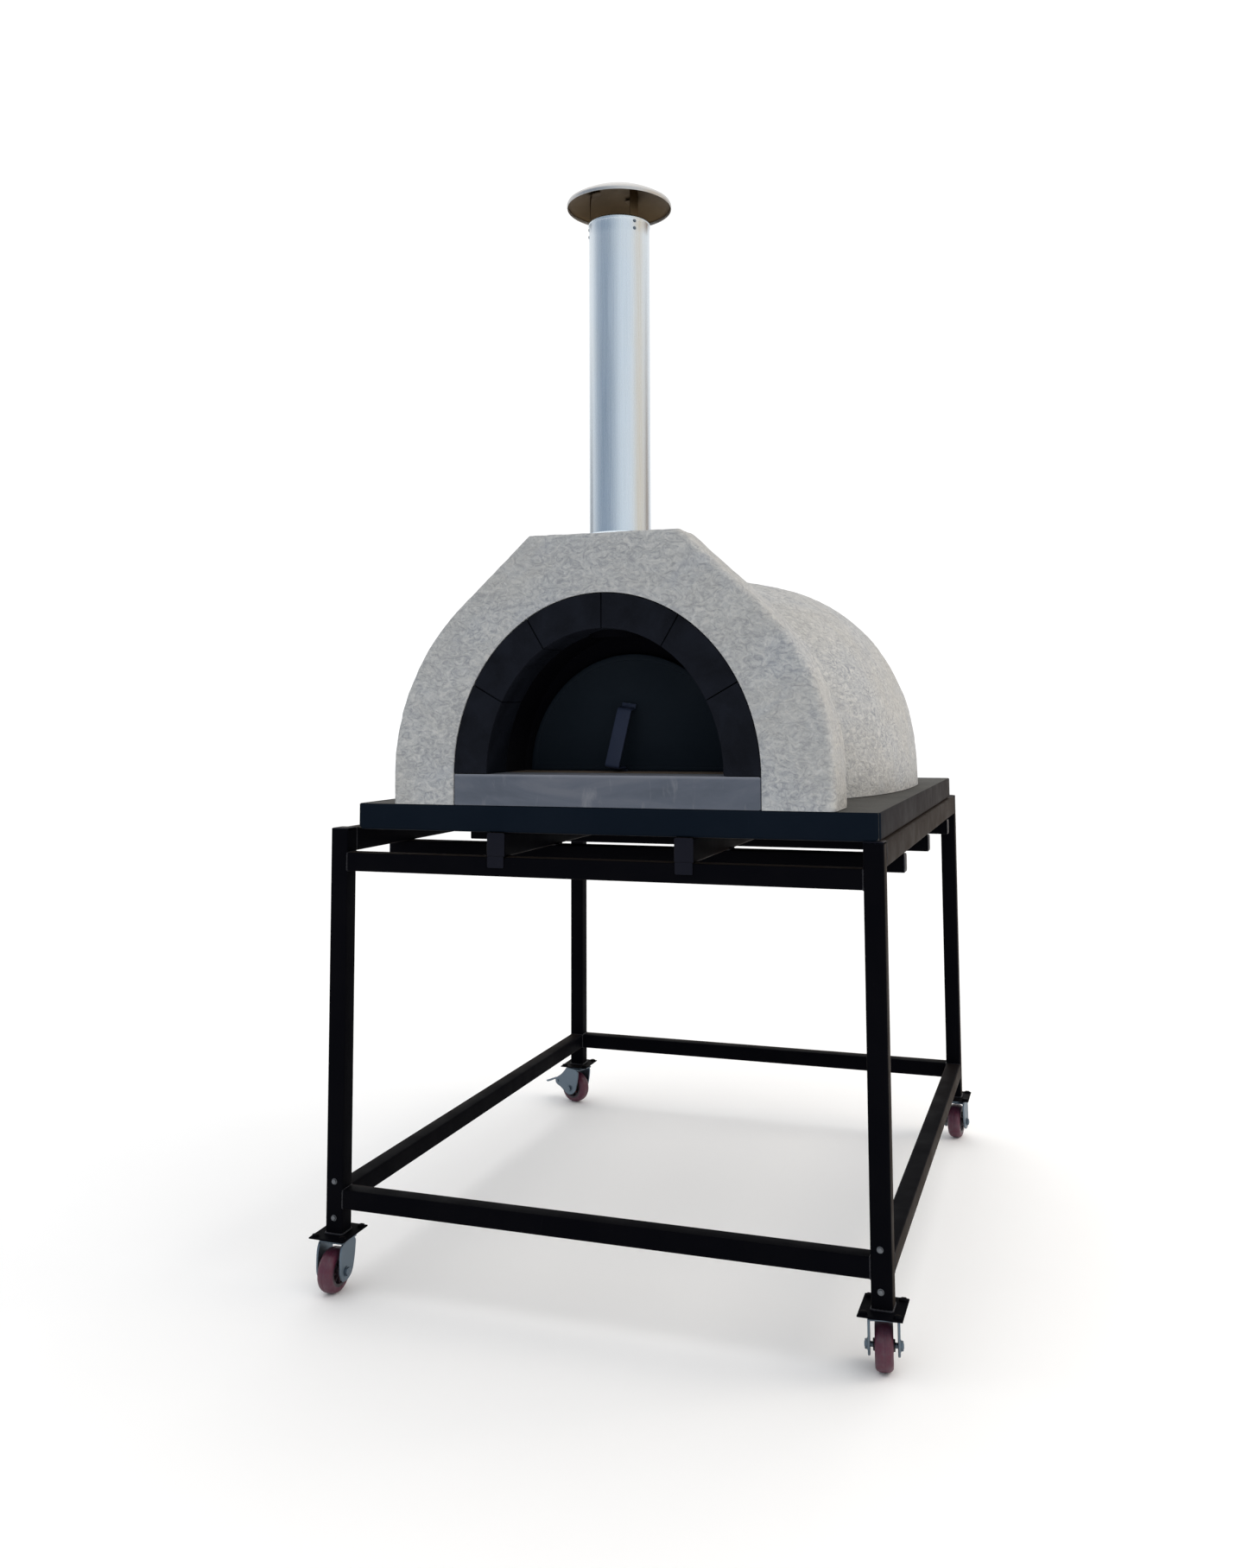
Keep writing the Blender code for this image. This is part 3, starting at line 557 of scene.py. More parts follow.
def divided(outline, step):
    """A closed outline with points added along its longer sides."""
    made = []
    for p, q in zip(outline, outline[1:] + outline[:1]):
        steps = max(1, int(hypot(q[0] - p[0], q[1] - p[1]) / step))
        made += [(p[0] + (q[0] - p[0]) * k / steps,
                  p[1] + (q[1] - p[1]) * k / steps) for k in range(steps)]
    return made


WELD_STEP = 0.0022


def weld_loop(name, centre, axis, half_a, half_b, size=0.0022):
    """Rippled fillet bead that runs round a tube where it meets its neighbour."""
    others = [k for k in range(3) if k != axis]
    path = divided(round_rect(half_a, half_b, TUBE_CORNER, 5), WELD_STEP)
    bm = bmesh.new()
    rows = []
    for i, (p, q) in enumerate(path):
        out = Vector((p, q)).normalized()
        rough = noise.noise(Vector((p * 90, q * 90, centre[axis] * 9)))
        ripple = size * (1 + 0.16 * sin(i * 1.9) + 0.2 * rough)
        row = []
        for k in range(6):
            a = 2 * pi * k / 6
            co = list(centre)
            co[others[0]] += p + out.x * ripple * cos(a)
            co[others[1]] += q + out.y * ripple * cos(a)
            co[axis] += ripple * sin(a)
            row.append(tuple(co))
        rows.append(row)
    rows.append(rows[0])
    skin(bm, rows, closed=True)
    bmesh.ops.remove_doubles(bm, verts=bm.verts, dist=1e-6)
    return piece(name, bm, "weld", OVEN, sharp=80)


LEG_BOLT_HEIGHTS = (0.153, 0.228)
SKID_HALF = 0.020


def build_stand():
    legs = [n for n in NODES if n.startswith("leg_")]
    rails = [n for n in NODES if "_rail_" in n]
    skids = [n for n in NODES if n.startswith("skid_")]
    crosses = [n for n in NODES if n.startswith("cross_tube_")]
    for node in legs + rails + skids + crosses:
        tube_piece(node)

    for node in legs:
        lo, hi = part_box(node)
        centre = (lo + hi) / 2
        half = (hi.x - lo.x) / 2
        plug(node + "_cap", (centre.x, centre.y, hi.z - 0.001), (0, 0, 1), half, half, (0, 1, 0))
        weld_loop(node + "_foot_weld", (centre.x, centre.y, lo.z + 0.0008), 2, half, half, 0.0026)
        out = -1 if centre.y < 0 else 1
        inward = -1 if centre.x > 0 else 1
        face = lo.y if out < 0 else hi.y
        heads = [((centre.x + inward * 0.001, face, z), (0, out, 0)) for z in LEG_BOLT_HEIGHTS]
        rods(node + "_bolts", heads, 0.0046, 0.0042, "bolt")

    for node in skids + crosses:
        lo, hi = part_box(node)
        centre = (lo + hi) / 2
        along = 1 if node in skids else 0
        tall = (hi.z - lo.z) / 2
        for sign, end in ((-1, lo[along] + 0.0006), (1, hi[along] - 0.0006)):
            place = list(centre)
            place[along] = end
            direction = [0, 0, 0]
            direction[along] = sign
            plug(f"{node}_plug_{'front' if sign < 0 else 'rear'}", place, direction, SKID_HALF,
                 tall,
                 (0, 0, 1), 0.0024)

    face = low("upper_rail_front").y
    for node in skids:
        lo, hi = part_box(node)
        bm = bmesh.new()
        outline = round_rect(0.0185, 0.012, 0.003)
        middle = ((lo.x + hi.x) / 2, lo.z - 0.010)
        rows = [[(middle[0] + p, y, middle[1] + q) for p, q in outline]
                for y in (face - 0.0003, face - 0.0030)]
        solid(bm, rows)
        rounded(piece(node + "_tab", bm, "plastic"), 0.0007)

    for node in rails:
        lo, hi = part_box(node)
        size = hi - lo
        along, across = tube_axes(size)
        halves = [size[k] / 2 - 0.0006 for k in across]
        for tag, end in (("a", lo[along]), ("b", hi[along])):
            place = list((lo + hi) / 2)
            place[along] = end
            weld_loop(f"{node}_weld_{tag}", place, along, *halves, 0.0017)
    for skid in skids:
        sx = (low(skid).x + high(skid).x) / 2
        for cross in crosses:
            cy = (low(cross).y + high(cross).y) / 2
            weld_loop(f"{skid}_{cross}_weld", (sx, cy, low(skid).z - 0.0002), 2, 0.0194, 0.0194)


def build_tray():
    """Folded steel tray with rounded corners, and the slab cast inside it."""
    lo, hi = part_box("base_tray")
    centre = (lo + hi) / 2
    half_x, half_y = (hi.x - lo.x) / 2, (hi.y - lo.y) / 2
    bm = bmesh.new()
    rows = []
    corner = 0.012
    fold = 0.009
    profile = [(fold * (1 - sin(radians(a))), lo.z + fold * (1 - cos(radians(a)))) for a in (0, 30,
                                                                                             60,
                                                                                             90)]
    profile.append((0.0, lo.z + (hi.z - lo.z) * 0.5))
    profile += [(inset, hi.z - drop) for inset, drop in
                ((0.0, 0.0034), (0.0003, 0.0019), (0.0011, 0.0007), (0.0022, 0.0001),
                 (0.0032, 0.0004),
                 (0.0036, 0.0016), (0.0036, 0.006))]
    for inset, z in profile:
        outline = round_rect(half_x - inset, half_y - inset, corner - inset * 0.6, 8)
        rows.append([(centre.x + p, centre.y + q, z) for p, q in divided(outline, 0.06)])
    skin(bm, rows, closed=True, cap_first=True)
    piece("tray_pan", bm, "tray", OVEN, "base_tray")

    slo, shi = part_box("base_slab")
    bm = bmesh.new()
    steps_x, steps_y = 90, 104
    rows = []
    for j in range(steps_y + 1):
        y = slo.y + (shi.y - slo.y) * j / steps_y
        row = []
        for i in range(steps_x + 1):
            x = slo.x + (shi.x - slo.x) * i / steps_x
            dip = 0.0010 + 0.0009 * noise.noise(Vector((x * 14, y * 14, 3.0)))
            row.append((x, y, shi.z - dip))
        rows.append(row)
    made = skin(bm, rows)
    border = made[0] + [r[-1] for r in made[1:]] + made[-1][-2::-1] + [r[0] for r in made[-2:0:-1]]
    lower = [bm.verts.new((v.co.x, v.co.y, slo.z)) for v in border]
    for i in range(len(border)):
        j = (i + 1) % len(border)
        bm.faces.new((border[i], border[j], lower[j], lower[i]))
    bm.faces.new(lower)
    piece("slab_top", bm, "slab", OVEN, "base_slab")


# ---------------------------------------------------------------- oven front
# Half widths and rises are about the middle of the hearth; depths run back from the front.
HALF = (high("facade").x - low("facade").x) / 2
BRICK_GAP = 0.0012                              # render to arch bricks
RING_X = (high("arch_brick_1").x - OVEN_X) + BRICK_GAP
RING_Z = (high("arch_brick_3").z - HEARTH) + BRICK_GAP
FACADE_DEPTH = 0.130
TOP_HALF = 0.165                                # flat top of the facade
INNER_X, INNER_Z = 0.258, 0.300                 # reveal behind the bricks
MOUTH_X, MOUTH_Z = 0.222, 0.240                 # mouth of the chamber, behind the door
RING_BACK = FRONT + 0.1003                      # back of the bricks
MOUTH_Y = FRONT + 0.205
GALLERY_X, GALLERY_Z = 0.330, 0.365
GALLERY_BACK = FRONT + 0.385


def facade_outline():
    """Right foot, flank, chamfer, flat top and mirrored, about the middle of the hearth."""
    corner = Vector((TOP_HALF, FACADE_TOP - HEARTH))
    start = atan2(corner.y, corner.x) - atan2(sqrt(corner.length_squared - HALF * HALF), HALF)
    foot = [(HALF, (FOOT - HEARTH) * (1 - k / 10)) for k in range(10)]
    flank = [(HALF * cos(start * k / 90), HALF * sin(start * k / 90)) for k in range(91)]
    tangent = Vector(flank[-1])
    line = [tuple(tangent.lerp(corner, k / 36)) for k in range(1, 37)]
    right = foot + flank + line
    top = [(TOP_HALF * (1 - k / 26), corner.y) for k in range(1, 26)]
    left = [(-x, z) for x, z in reversed(right + top)]
    return right + top + [(0.0, corner.y)] + left


def arch_match(outline, half_x, rise):
    """A point of the arch for each point of the outline, at the same bearing."""
    points = []
    for x, z in outline:
        if z <= 0:
            points.append((half_x if x > 0 else -half_x, z))
            continue
        a = atan2(z, x)
        reach = 1 / sqrt((cos(a) / half_x) ** 2 + (sin(a) / rise) ** 2)
        points.append((reach * cos(a), reach * sin(a)))
    return points


def outline_normals(outline):
    made = []
    for i in range(len(outline)):
        a, b = Vector(outline[max(i - 1, 0)]), Vector(outline[min(i + 1, len(outline) - 1)])
        step = (b - a).normalized()
        made.append(Vector((step.y, -step.x)))
    made[0] = made[1] = Vector((1, 0))
    made[-1] = made[-2] = Vector((-1, 0))
    return made


def build_facade():
    outer = facade_outline()
    normals = outline_normals(outer)
    ring = arch_match(outer, RING_X, RING_Z)
    edge = 0.015
    rows = []

    def at(point, y):
        return OVEN_X + point[0], y, HEARTH + point[1]

    def grown(point, normal, amount):
        """A point of the outline moved out by an amount, but never below the foot."""
        return point[0] + normal.x * amount, max(point[1] + normal.y * amount, FOOT - HEARTH)

    inset = [grown(p, n, -edge) for p, n in zip(outer, normals)]
    for depth in (0.030, 0.012, 0.004, 0.0012):
        rows.append([at(p, FRONT + depth) for p in ring])
    steps = 44
    for k in range(steps + 1):
        share = k / steps
        rows.append([at((r[0] * (1 - share) + p[0] * share + (0.0012 if r[0] > 0 else -0.0012) * (k == 0),
                         r[1] * (1 - share) + p[1] * share), FRONT) for r, p in zip(ring, inset)])
    for k in range(1, 9):
        a = radians(90 * k / 8)
        rows.append([at(grown(p, n, edge * sin(a)), FRONT + edge * (1 - cos(a)))
                     for p, n in zip(inset, normals)])
    back = FRONT + FACADE_DEPTH
    for k in range(1, 19):
        rows.append([at(p, FRONT + edge + (FACADE_DEPTH - 2 * edge) * k / 18) for p in outer])
    for k in range(1, 7):
        a = radians(90 * k / 6)
        rows.append([at(grown(p, n, edge * cos(a)), back - edge + edge * sin(a))
                     for p, n in zip(inset, normals)])
    hump = arch_match(outer, GALLERY_X - 0.02, GALLERY_Z - 0.02)
    for k in range(1, 10):
        rows.append([at((p[0] + (h[0] - p[0]) * k / 9, p[1] + (h[1] - p[1]) * k / 9), back)
                     for p, h in zip(inset, hump)])
    bm = bmesh.new()
    skin(bm, rows)

    def beside_ring(co):
        across, up = (co.x - OVEN_X) / (RING_X + 0.006), max(co.z - HEARTH, 0) / (RING_Z + 0.006)
        return co.y < FRONT + 0.04 and hypot(across, up) < 1.0

    roughen(bm, 0.0019, 34, 2.0, keep=lambda co: co.z < FOOT + 0.001 or beside_ring(co))
    cut(bm, lambda co: co.z > FACADE_TOP - 0.03 and near_flue(co, 0.062))
    piece("facade_render", bm, "stucco", OVEN, "facade", sharp=60)

    build_gallery()
    build_chimney()
    build_lining()


def build_gallery():
    bm = bmesh.new()
    rows = []
    steps = 90
    for j in range(26):
        y = FRONT + 0.10 + (GALLERY_BACK + 0.09 - FRONT - 0.10) * j / 25
        row = [(OVEN_X + GALLERY_X, y, FOOT), (OVEN_X + GALLERY_X, y, (FOOT + HEARTH) / 2)]
        row += [(OVEN_X + GALLERY_X * cos(pi * k / steps), y,
                 HEARTH + GALLERY_Z * sin(pi * k / steps))
                for k in range(steps + 1)]
        row += [(OVEN_X - GALLERY_X, y, (FOOT + HEARTH) / 2), (OVEN_X - GALLERY_X, y, FOOT)]
        rows.append(row)
    skin(bm, rows)
    roughen(bm, 0.0022, 30, 5.0, keep=lambda co: co.z < FOOT + 0.001)
    # The part that would run into the chamber is cut away where the dome takes over.
    cut(bm, lambda co: inside_dome(co, 0.035))
    piece("gallery_render", bm, "stucco", OVEN, "gallery", sharp=60)


def build_chimney():
    """Boss behind the facade that carries the flue and runs down onto the gallery."""
    bm = bmesh.new()
    rows = []
    base = HEARTH + INNER_Z + 0.004
    power = 0.36
    for j in range(31):
        share = j / 30
        y = FRONT + 0.10 + 0.30 * share
        back = (y - (FRONT + 0.19)) / 0.20
        drop = 0.0 if back < 0 else min(back, 1.0)
        top = FACADE_TOP - 0.195 * (drop * drop * (3 - 2 * drop))
        half = 0.118 + 0.05 * drop
        row = []
        for k in range(61):
            a = pi * k / 60
            row.append((OVEN_X + half * power_sign(cos(a), power), y,
                        base + (top - base) * sin(a) ** power))
        rows.append(row)
    made = skin(bm, rows)
    bm.faces.new(made[-1])
    long_edges = [e for e in bm.edges if e.calc_length() > 0.03 and len(e.link_faces) == 2]
    bmesh.ops.subdivide_edges(bm, edges=long_edges, cuts=1, use_grid_fill=True)
    roughen(bm, 0.0022, 30, 9.0)
    cut(bm, lambda co: co.z > FACADE_TOP - 0.02 and near_flue(co, 0.066))
    piece("chimney_render", bm, "stucco", OVEN, sharp=60)


def arch_row(half_x, rise, y, foot, steps=72):
    row = [(OVEN_X + half_x, y, foot), (OVEN_X + half_x, y, HEARTH)]
    row += [(OVEN_X + half_x * cos(pi * k / steps), y, HEARTH + rise * sin(pi * k / steps))
            for k in range(1, steps)]
    return row + [(OVEN_X - half_x, y, HEARTH), (OVEN_X - half_x, y, foot)]


def build_lining():
    """Sooty reveal behind the arch bricks, the wall round the mouth, and the mouth itself."""
    bm = bmesh.new()
    foot = HEARTH - 0.002
    rows = [arch_row(RING_X - 0.004, RING_Z - 0.004, RING_BACK, foot),
            arch_row(INNER_X, INNER_Z, RING_BACK, foot)]
    for k in range(1, 19):
        rows.append(arch_row(INNER_X, INNER_Z, RING_BACK + (MOUTH_Y - 0.006 - RING_BACK) * k / 18,
                             foot))
    for a in (30, 60, 90):
        s, c = sin(radians(a)), cos(radians(a))
        rows.append(arch_row(INNER_X - 0.006 * (1 - c), INNER_Z - 0.006 * (1 - c),
                             MOUTH_Y - 0.006 + 0.006 * s, foot))
    for k in (1, 2, 3):
        rows.append(arch_row(INNER_X - 0.006 + (MOUTH_X + 0.004 - INNER_X + 0.006) * k / 3,
                             INNER_Z - 0.006 + (MOUTH_Z + 0.004 - INNER_Z + 0.006) * k / 3, MOUTH_Y,
                             foot))
    for a in (45, 90):
        s, c = sin(radians(a)), cos(radians(a))
        rows.append(arch_row(MOUTH_X + 0.004 * (1 - s), MOUTH_Z + 0.004 * (1 - s),
                             MOUTH_Y + 0.004 * (1 - c), foot))
    for k in range(1, 9):
        rows.append(arch_row(MOUTH_X, MOUTH_Z, MOUTH_Y + 0.004 + 0.181 * k / 8, foot))
    skin(bm, rows)
    cut(bm,
        lambda co: co.z > HEARTH + 0.2 and RING_BACK + 0.004 < co.y < MOUTH_Y and near_flue(co,
                                                                                            FLUE_R))
    piece("arch_lining", bm, "lining", OVEN, sharp=50)
    throat = [(FLUE_R + 0.0006, HEARTH + 0.285), (FLUE_R + 0.0006, FACADE_TOP - 0.002)]
    turned("flue_throat", throat, "lining", matrix=Matrix.Translation((FLUE.x, FLUE.y, 0)),
           closed=False)


# ---------------------------------------------------------------- dome
DOME_MID = FRONT + 0.893
DOME_A, DOME_FRONT, DOME_BACK, DOME_H = 0.519, 0.740, 0.397, 0.537
PLAN, PROFILE = 2.57, 2.34


def inside_dome(co, inset=0.0):
    """Whether a point lies inside the dome's outer surface shrunk by the inset."""
    x = abs(co.x - OVEN_X) / (DOME_A - inset)
    reach = DOME_BACK if co.y > DOME_MID else DOME_FRONT
    y = abs(co.y - DOME_MID) / (reach - inset)
    plan = (x ** PLAN + y ** PLAN) ** (1 / PLAN)
    return plan ** PROFILE + (max(co.z - FOOT, 0) / (DOME_H - inset)) ** PROFILE < 1


def inside_gallery(co, shrink):
    x = abs(co.x - OVEN_X)
    if co.y > GALLERY_BACK - shrink or x > GALLERY_X - shrink:
        return False
    if co.z < HEARTH:
        return True
    return (x / (GALLERY_X - shrink)) ** 2 + ((co.z - HEARTH) / (GALLERY_Z - shrink)) ** 2 < 1


def power_sign(value, power):
    return abs(value) ** power * (1 if value >= 0 else -1)


def build_dome():
    bm = bmesh.new()
    rings = []
    around, up = 380, 124
    for j in range(up):
        lift = (pi / 2) * (j / up)
        c, s = cos(lift) ** (2 / PROFILE), sin(lift) ** (2 / PROFILE)
        ring = []
        for k in range(around):
            # Even spacing along the superellipse: its natural angle bunches at the flats.
            t = 2 * pi * k / around
            x = DOME_A * power_sign(cos(t), 2 / PLAN)
            y = (DOME_BACK if sin(t) > 0 else DOME_FRONT) * power_sign(sin(t), 2 / PLAN)
            ring.append((OVEN_X + x * c, DOME_MID + y * c, FOOT + DOME_H * s))
        rings.append(ring)
    made = skin(bm, rings, closed=True)
    crown = bm.verts.new((OVEN_X, DOME_MID, FOOT + DOME_H))
    for k in range(around):
        bm.faces.new((made[-1][k], made[-1][(k + 1) % around], crown))
    roughen(bm, 0.0030, 22, 7.0, keep=lambda co: co.z < FOOT + 0.002)
    cut(bm, lambda co: inside_gallery(co, 0.012))
    piece("dome_render", bm, "stucco", OVEN, "render_shell", sharp=80)
    for node, look in (("insulation_blanket", "fibre"), ("refractory_dome", "refractory")):
        dress(node, look)
    for node, look in (("insulation_board", "fibre"), ("hearth_floor", "firebrick")):
        dress(node, look, 0.001)


# ---------------------------------------------------------------- arch bricks, sill, door
def build_arch_details():
    for k in range(1, 7):
        dress(f"arch_brick_{k}", "brick", 0.0022, 3)
    dress("hearth_sill", "slate", 0.0035, 3)


def build_door():
    lo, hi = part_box("door_panel")
    half, base, rise = (hi.x - lo.x) / 2, lo.z, hi.z - lo.z
    front, back = lo.y, hi.y

    def outline(inset):
        foot = base + inset * 0.8
        points = [(OVEN_X + (half - inset) * cos(pi * k / 80),
                   foot + (rise - inset * 1.8) * sin(pi * k / 80))
                  for k in range(81)]
        bottom = [(OVEN_X - (half - inset) * (1 - k / 12), foot) for k in range(1, 24)]
        return points + bottom

    bm = bmesh.new()
    rows = []
    for inset, y in ((0.004, back), (0.001, back - 0.0008), (0.0, back - 0.002),
                     (0.0, front + 0.0025),
                     (0.0008, front + 0.0008), (0.0028, front), (0.011, front),
                     (0.0128, front + 0.0006),
                     (0.0142, front + 0.0022), (0.018, front + 0.0026), (0.06, front + 0.0026),
                     (0.10, front + 0.0026)):
        rows.append([(x, y, z) for x, z in outline(inset)])
    solid(bm, rows)
    piece("door_face", bm, "door", "door", "door_panel", sharp=30)

    build_handle(front)


def build_handle(face):
    """One bent flat bar, bolted to the door at both feet."""
    path = mm((-2.2, 148), (-2.2, 139), (-6, 136.5), (-22, 136.5), (-26.5, 134.5), (-29, 130),
              (-42, 82), (-54.5, 34.5), (-60, 16.5), (-60, 12.5), (-57, 10), (-51, 9.5), (-6, 9.5),
              (-2.2, 8.2), (-2.2, 2))
    path = smooth_path(path, 3)
    half, thick = 0.016, 0.0021
    middle = 0.075
    turn = Matrix.Translation((OVEN_X - 0.0165, face,
                               HEARTH + middle)) @ Matrix.Rotation(radians(8), 4, "Y")
    bm = bmesh.new()
    rows = []
    for (y, z), run in frames(path):
        rows.append([turn @ Vector((p, y + run.y * q, z - middle - run.x * q))
                     for p, q in round_rect(half, thick, 0.0012, 3)])
    solid(bm, rows)
    piece("door_bar", bm, "handle", "door", "door_handle", sharp=35)
    bolts = [(turn @ Vector((0, -0.0015, z - middle)), (0, -1, 0)) for z in (0.1445, 0.0055)]
    rods("door_bar_bolts", bolts, 0.0030, 0.0022, "zinc", "door", sides=24)


def corner_cut(a, b, share):
    """The two points that cut the corners at the ends of a side."""
    rest = 1 - share
    return [(a[0] * rest + b[0] * share, a[1] * rest + b[1] * share),
            (a[0] * share + b[0] * rest, a[1] * share + b[1] * rest)]


def smooth_path(points, rounds):
    """Chaikin corner cutting that keeps both ends."""
    for _ in range(rounds):
        made = [p for a, b in zip(points, points[1:]) for p in corner_cut(a, b, 0.25)]
        points = [points[0]] + made + [points[-1]]
    return points


# ---------------------------------------------------------------- flue
def build_flue():
    here = Matrix.Translation((FLUE.x, FLUE.y, 0))
    base = low("flue_pipe").z
    wall = 0.0016
    rim = [(FLUE_R + out, PIPE_TOP - drop) for out, drop in
           mm((0, 10), (1.2, 8), (1.8, 4), (1.2, 0.8), (-0.2, 0), (-1.6, 1.2))]
    sides = [(FLUE_R, base + (PIPE_TOP - 0.010 - base) * k / 30) for k in range(31)]
    sheet = [(FLUE_R - wall, base)] + sides[:-1] + rim
    turned("flue_sheet", sheet, "steel", OVEN, "flue_pipe", 128, here, sharp=50)

    # Lapped seam down the back of the pipe, turned a little to the right.
    bm = bmesh.new()
    rows = []
    for k in range(61):
        z = FACADE_TOP + 0.004 + (PIPE_TOP - 0.012 - FACADE_TOP - 0.004) * k / 60
        row = []
        for i in range(7):
            a = radians(62) + (i - 3) / 3 * 0.045
            lift = 0.0009 * (1 - ((i - 3) / 3) ** 4) - 0.0002
            row.append(((FLUE_R + lift) * cos(a), (FLUE_R + lift) * sin(a), z))
        rows.append(row)
    skin(bm, rows)
    bmesh.ops.transform(bm, matrix=here, verts=bm.verts)
    piece("flue_seam", bm, "steel", OVEN)

    seat = low("flue_collar").z
    flashing = [(r, seat + rise) for r, rise in
                ((FLUE_R + 0.0008, 0), (0.0905, 0), (0.0920, 0.0008), (0.0910, 0.0022),
                 (0.0880, 0.0026),
                 (0.0760, 0.0026), (0.0715, 0.0034), (FLUE_R + 0.0030, 0.0060),
                 (FLUE_R + 0.0022, 0.0075),
                 (FLUE_R + 0.0008, 0.0075))]
    turned("flue_flashing", flashing, "steel", OVEN, "flue_collar", 96, here)
    screws = [((FLUE.x + 0.0825 * cos(a), FLUE.y + 0.0825 * sin(a), seat + 0.0024), (0, 0, 1))
              for a in (radians(45 + 90 * k) for k in range(4))]
    rods("flashing_screws", screws, 0.0034, 0.0026, "zinc", sides=24)
    build_cap(here)


def build_cap(here):
    """Shallow spun dome with a rolled rim, on three flat straps."""
    def crown(reach, base, height):
        """Crowned profile from the middle out to a share of the cap's radius."""
        radii = [CAP_R * reach * k / 20 for k in range(21)]
        return [(max(r, 0.0004), CAP_RIM + base + height * (1 - (r / CAP_R) ** 2.1)) for r in radii]

    over = crown(0.985, 0.0015, CAP_TOP - CAP_RIM - 0.0015)
    under = crown(0.975, -0.0002, CAP_TOP - CAP_RIM - 0.0018)
    roll = [(CAP_R - inset, CAP_RIM - drop) for inset, drop in
            mm((1.2, -1), (0.2, 0.4), (0, 2), (0, 7), (0.4, 8), (1.2, 8), (1.6, 7), (1.8, 2))]
    cap = turned("cap_sheet", over + roll + under[::-1], "cap", OVEN, "rain_cap", 120, here,
                 sharp=50)
    # Painted shade: the faces that look down, under the cap, take the darker brown steel.
    cap.data.materials.append(MATS["cap_painted_shade"])
    for face in cap.data.polygons:
        reach = hypot(face.center.x - FLUE.x, face.center.y - FLUE.y)
        face.material_index = int(face.normal.z < -0.2 and reach < CAP_R * 0.985)

    bm = bmesh.new()
    inner = FLUE_R - 0.0031
    path = smooth_path([(inner + out, PIPE_TOP + rise) for out, rise in
                        mm((0, -38), (0, 4), (0.5, 25), (0.5, 58), (-2, 65.5), (-10, 69),
                           (-22, 71.5))], 2)
    strap = round_rect(0.010, 0.0009, 0.0006, 2)
    rivets = []
    for a in (radians(200 + 120 * k) for k in range(3)):
        turn = here @ Matrix.Rotation(a, 4, "Z")
        rows = [[turn @ Vector((r + run.y * q, p, z - run.x * q)) for p, q in strap]
                for (r, z), run in frames(path)]
        solid(bm, rows)
        for drop in (0.012, 0.028):
            rivets.append(((FLUE.x + FLUE_R * cos(a), FLUE.y + FLUE_R * sin(a), PIPE_TOP - drop),
                           (cos(a), sin(a), 0)))
    # The straps under the cap take the same darker steel as painted shade.
    piece("cap_straps", bm, "cap_painted_shade", OVEN, "cap_bracket", sharp=35)
    rods("strap_rivets", rivets, 0.0028, 0.0016, "zinc", sides=24)


# ---------------------------------------------------------------- casters
FORK_IN, FORK_OUT = 0.0254, 0.030               # inner and outer faces of the cheeks
TYRE_HALF = 0.017


def mirrored(half):
    """The first half of a profile, and the same again mirrored in height."""
    return half + [(r, -z) for r, z in reversed(half) if z]


def slab_piece(name, outline, y0, y1, look, body, matrix, edge=0.0007, stands_for=()):
    """A flat plate cut to a smooth (x, z) outline between two y planes."""
    bm = bmesh.new()
    rows = [[(x, y0, z) for x, z in outline], [(x, y1, z) for x, z in outline]]
    solid(bm, rows)
    bmesh.ops.transform(bm, matrix=matrix, verts=bm.verts)
    obj = piece(name, bm, look, body, stands_for, sharp=35)
    return rounded(obj, edge, 2, 50)


def closed_smooth(points, rounds=2):
    """The same for a closed outline, with slightly tighter corners."""
    for _ in range(rounds):
        points = [p for a,
                  b in zip(points, points[1:] + points[:1]) for p in corner_cut(a, b, 0.22)]
    return points


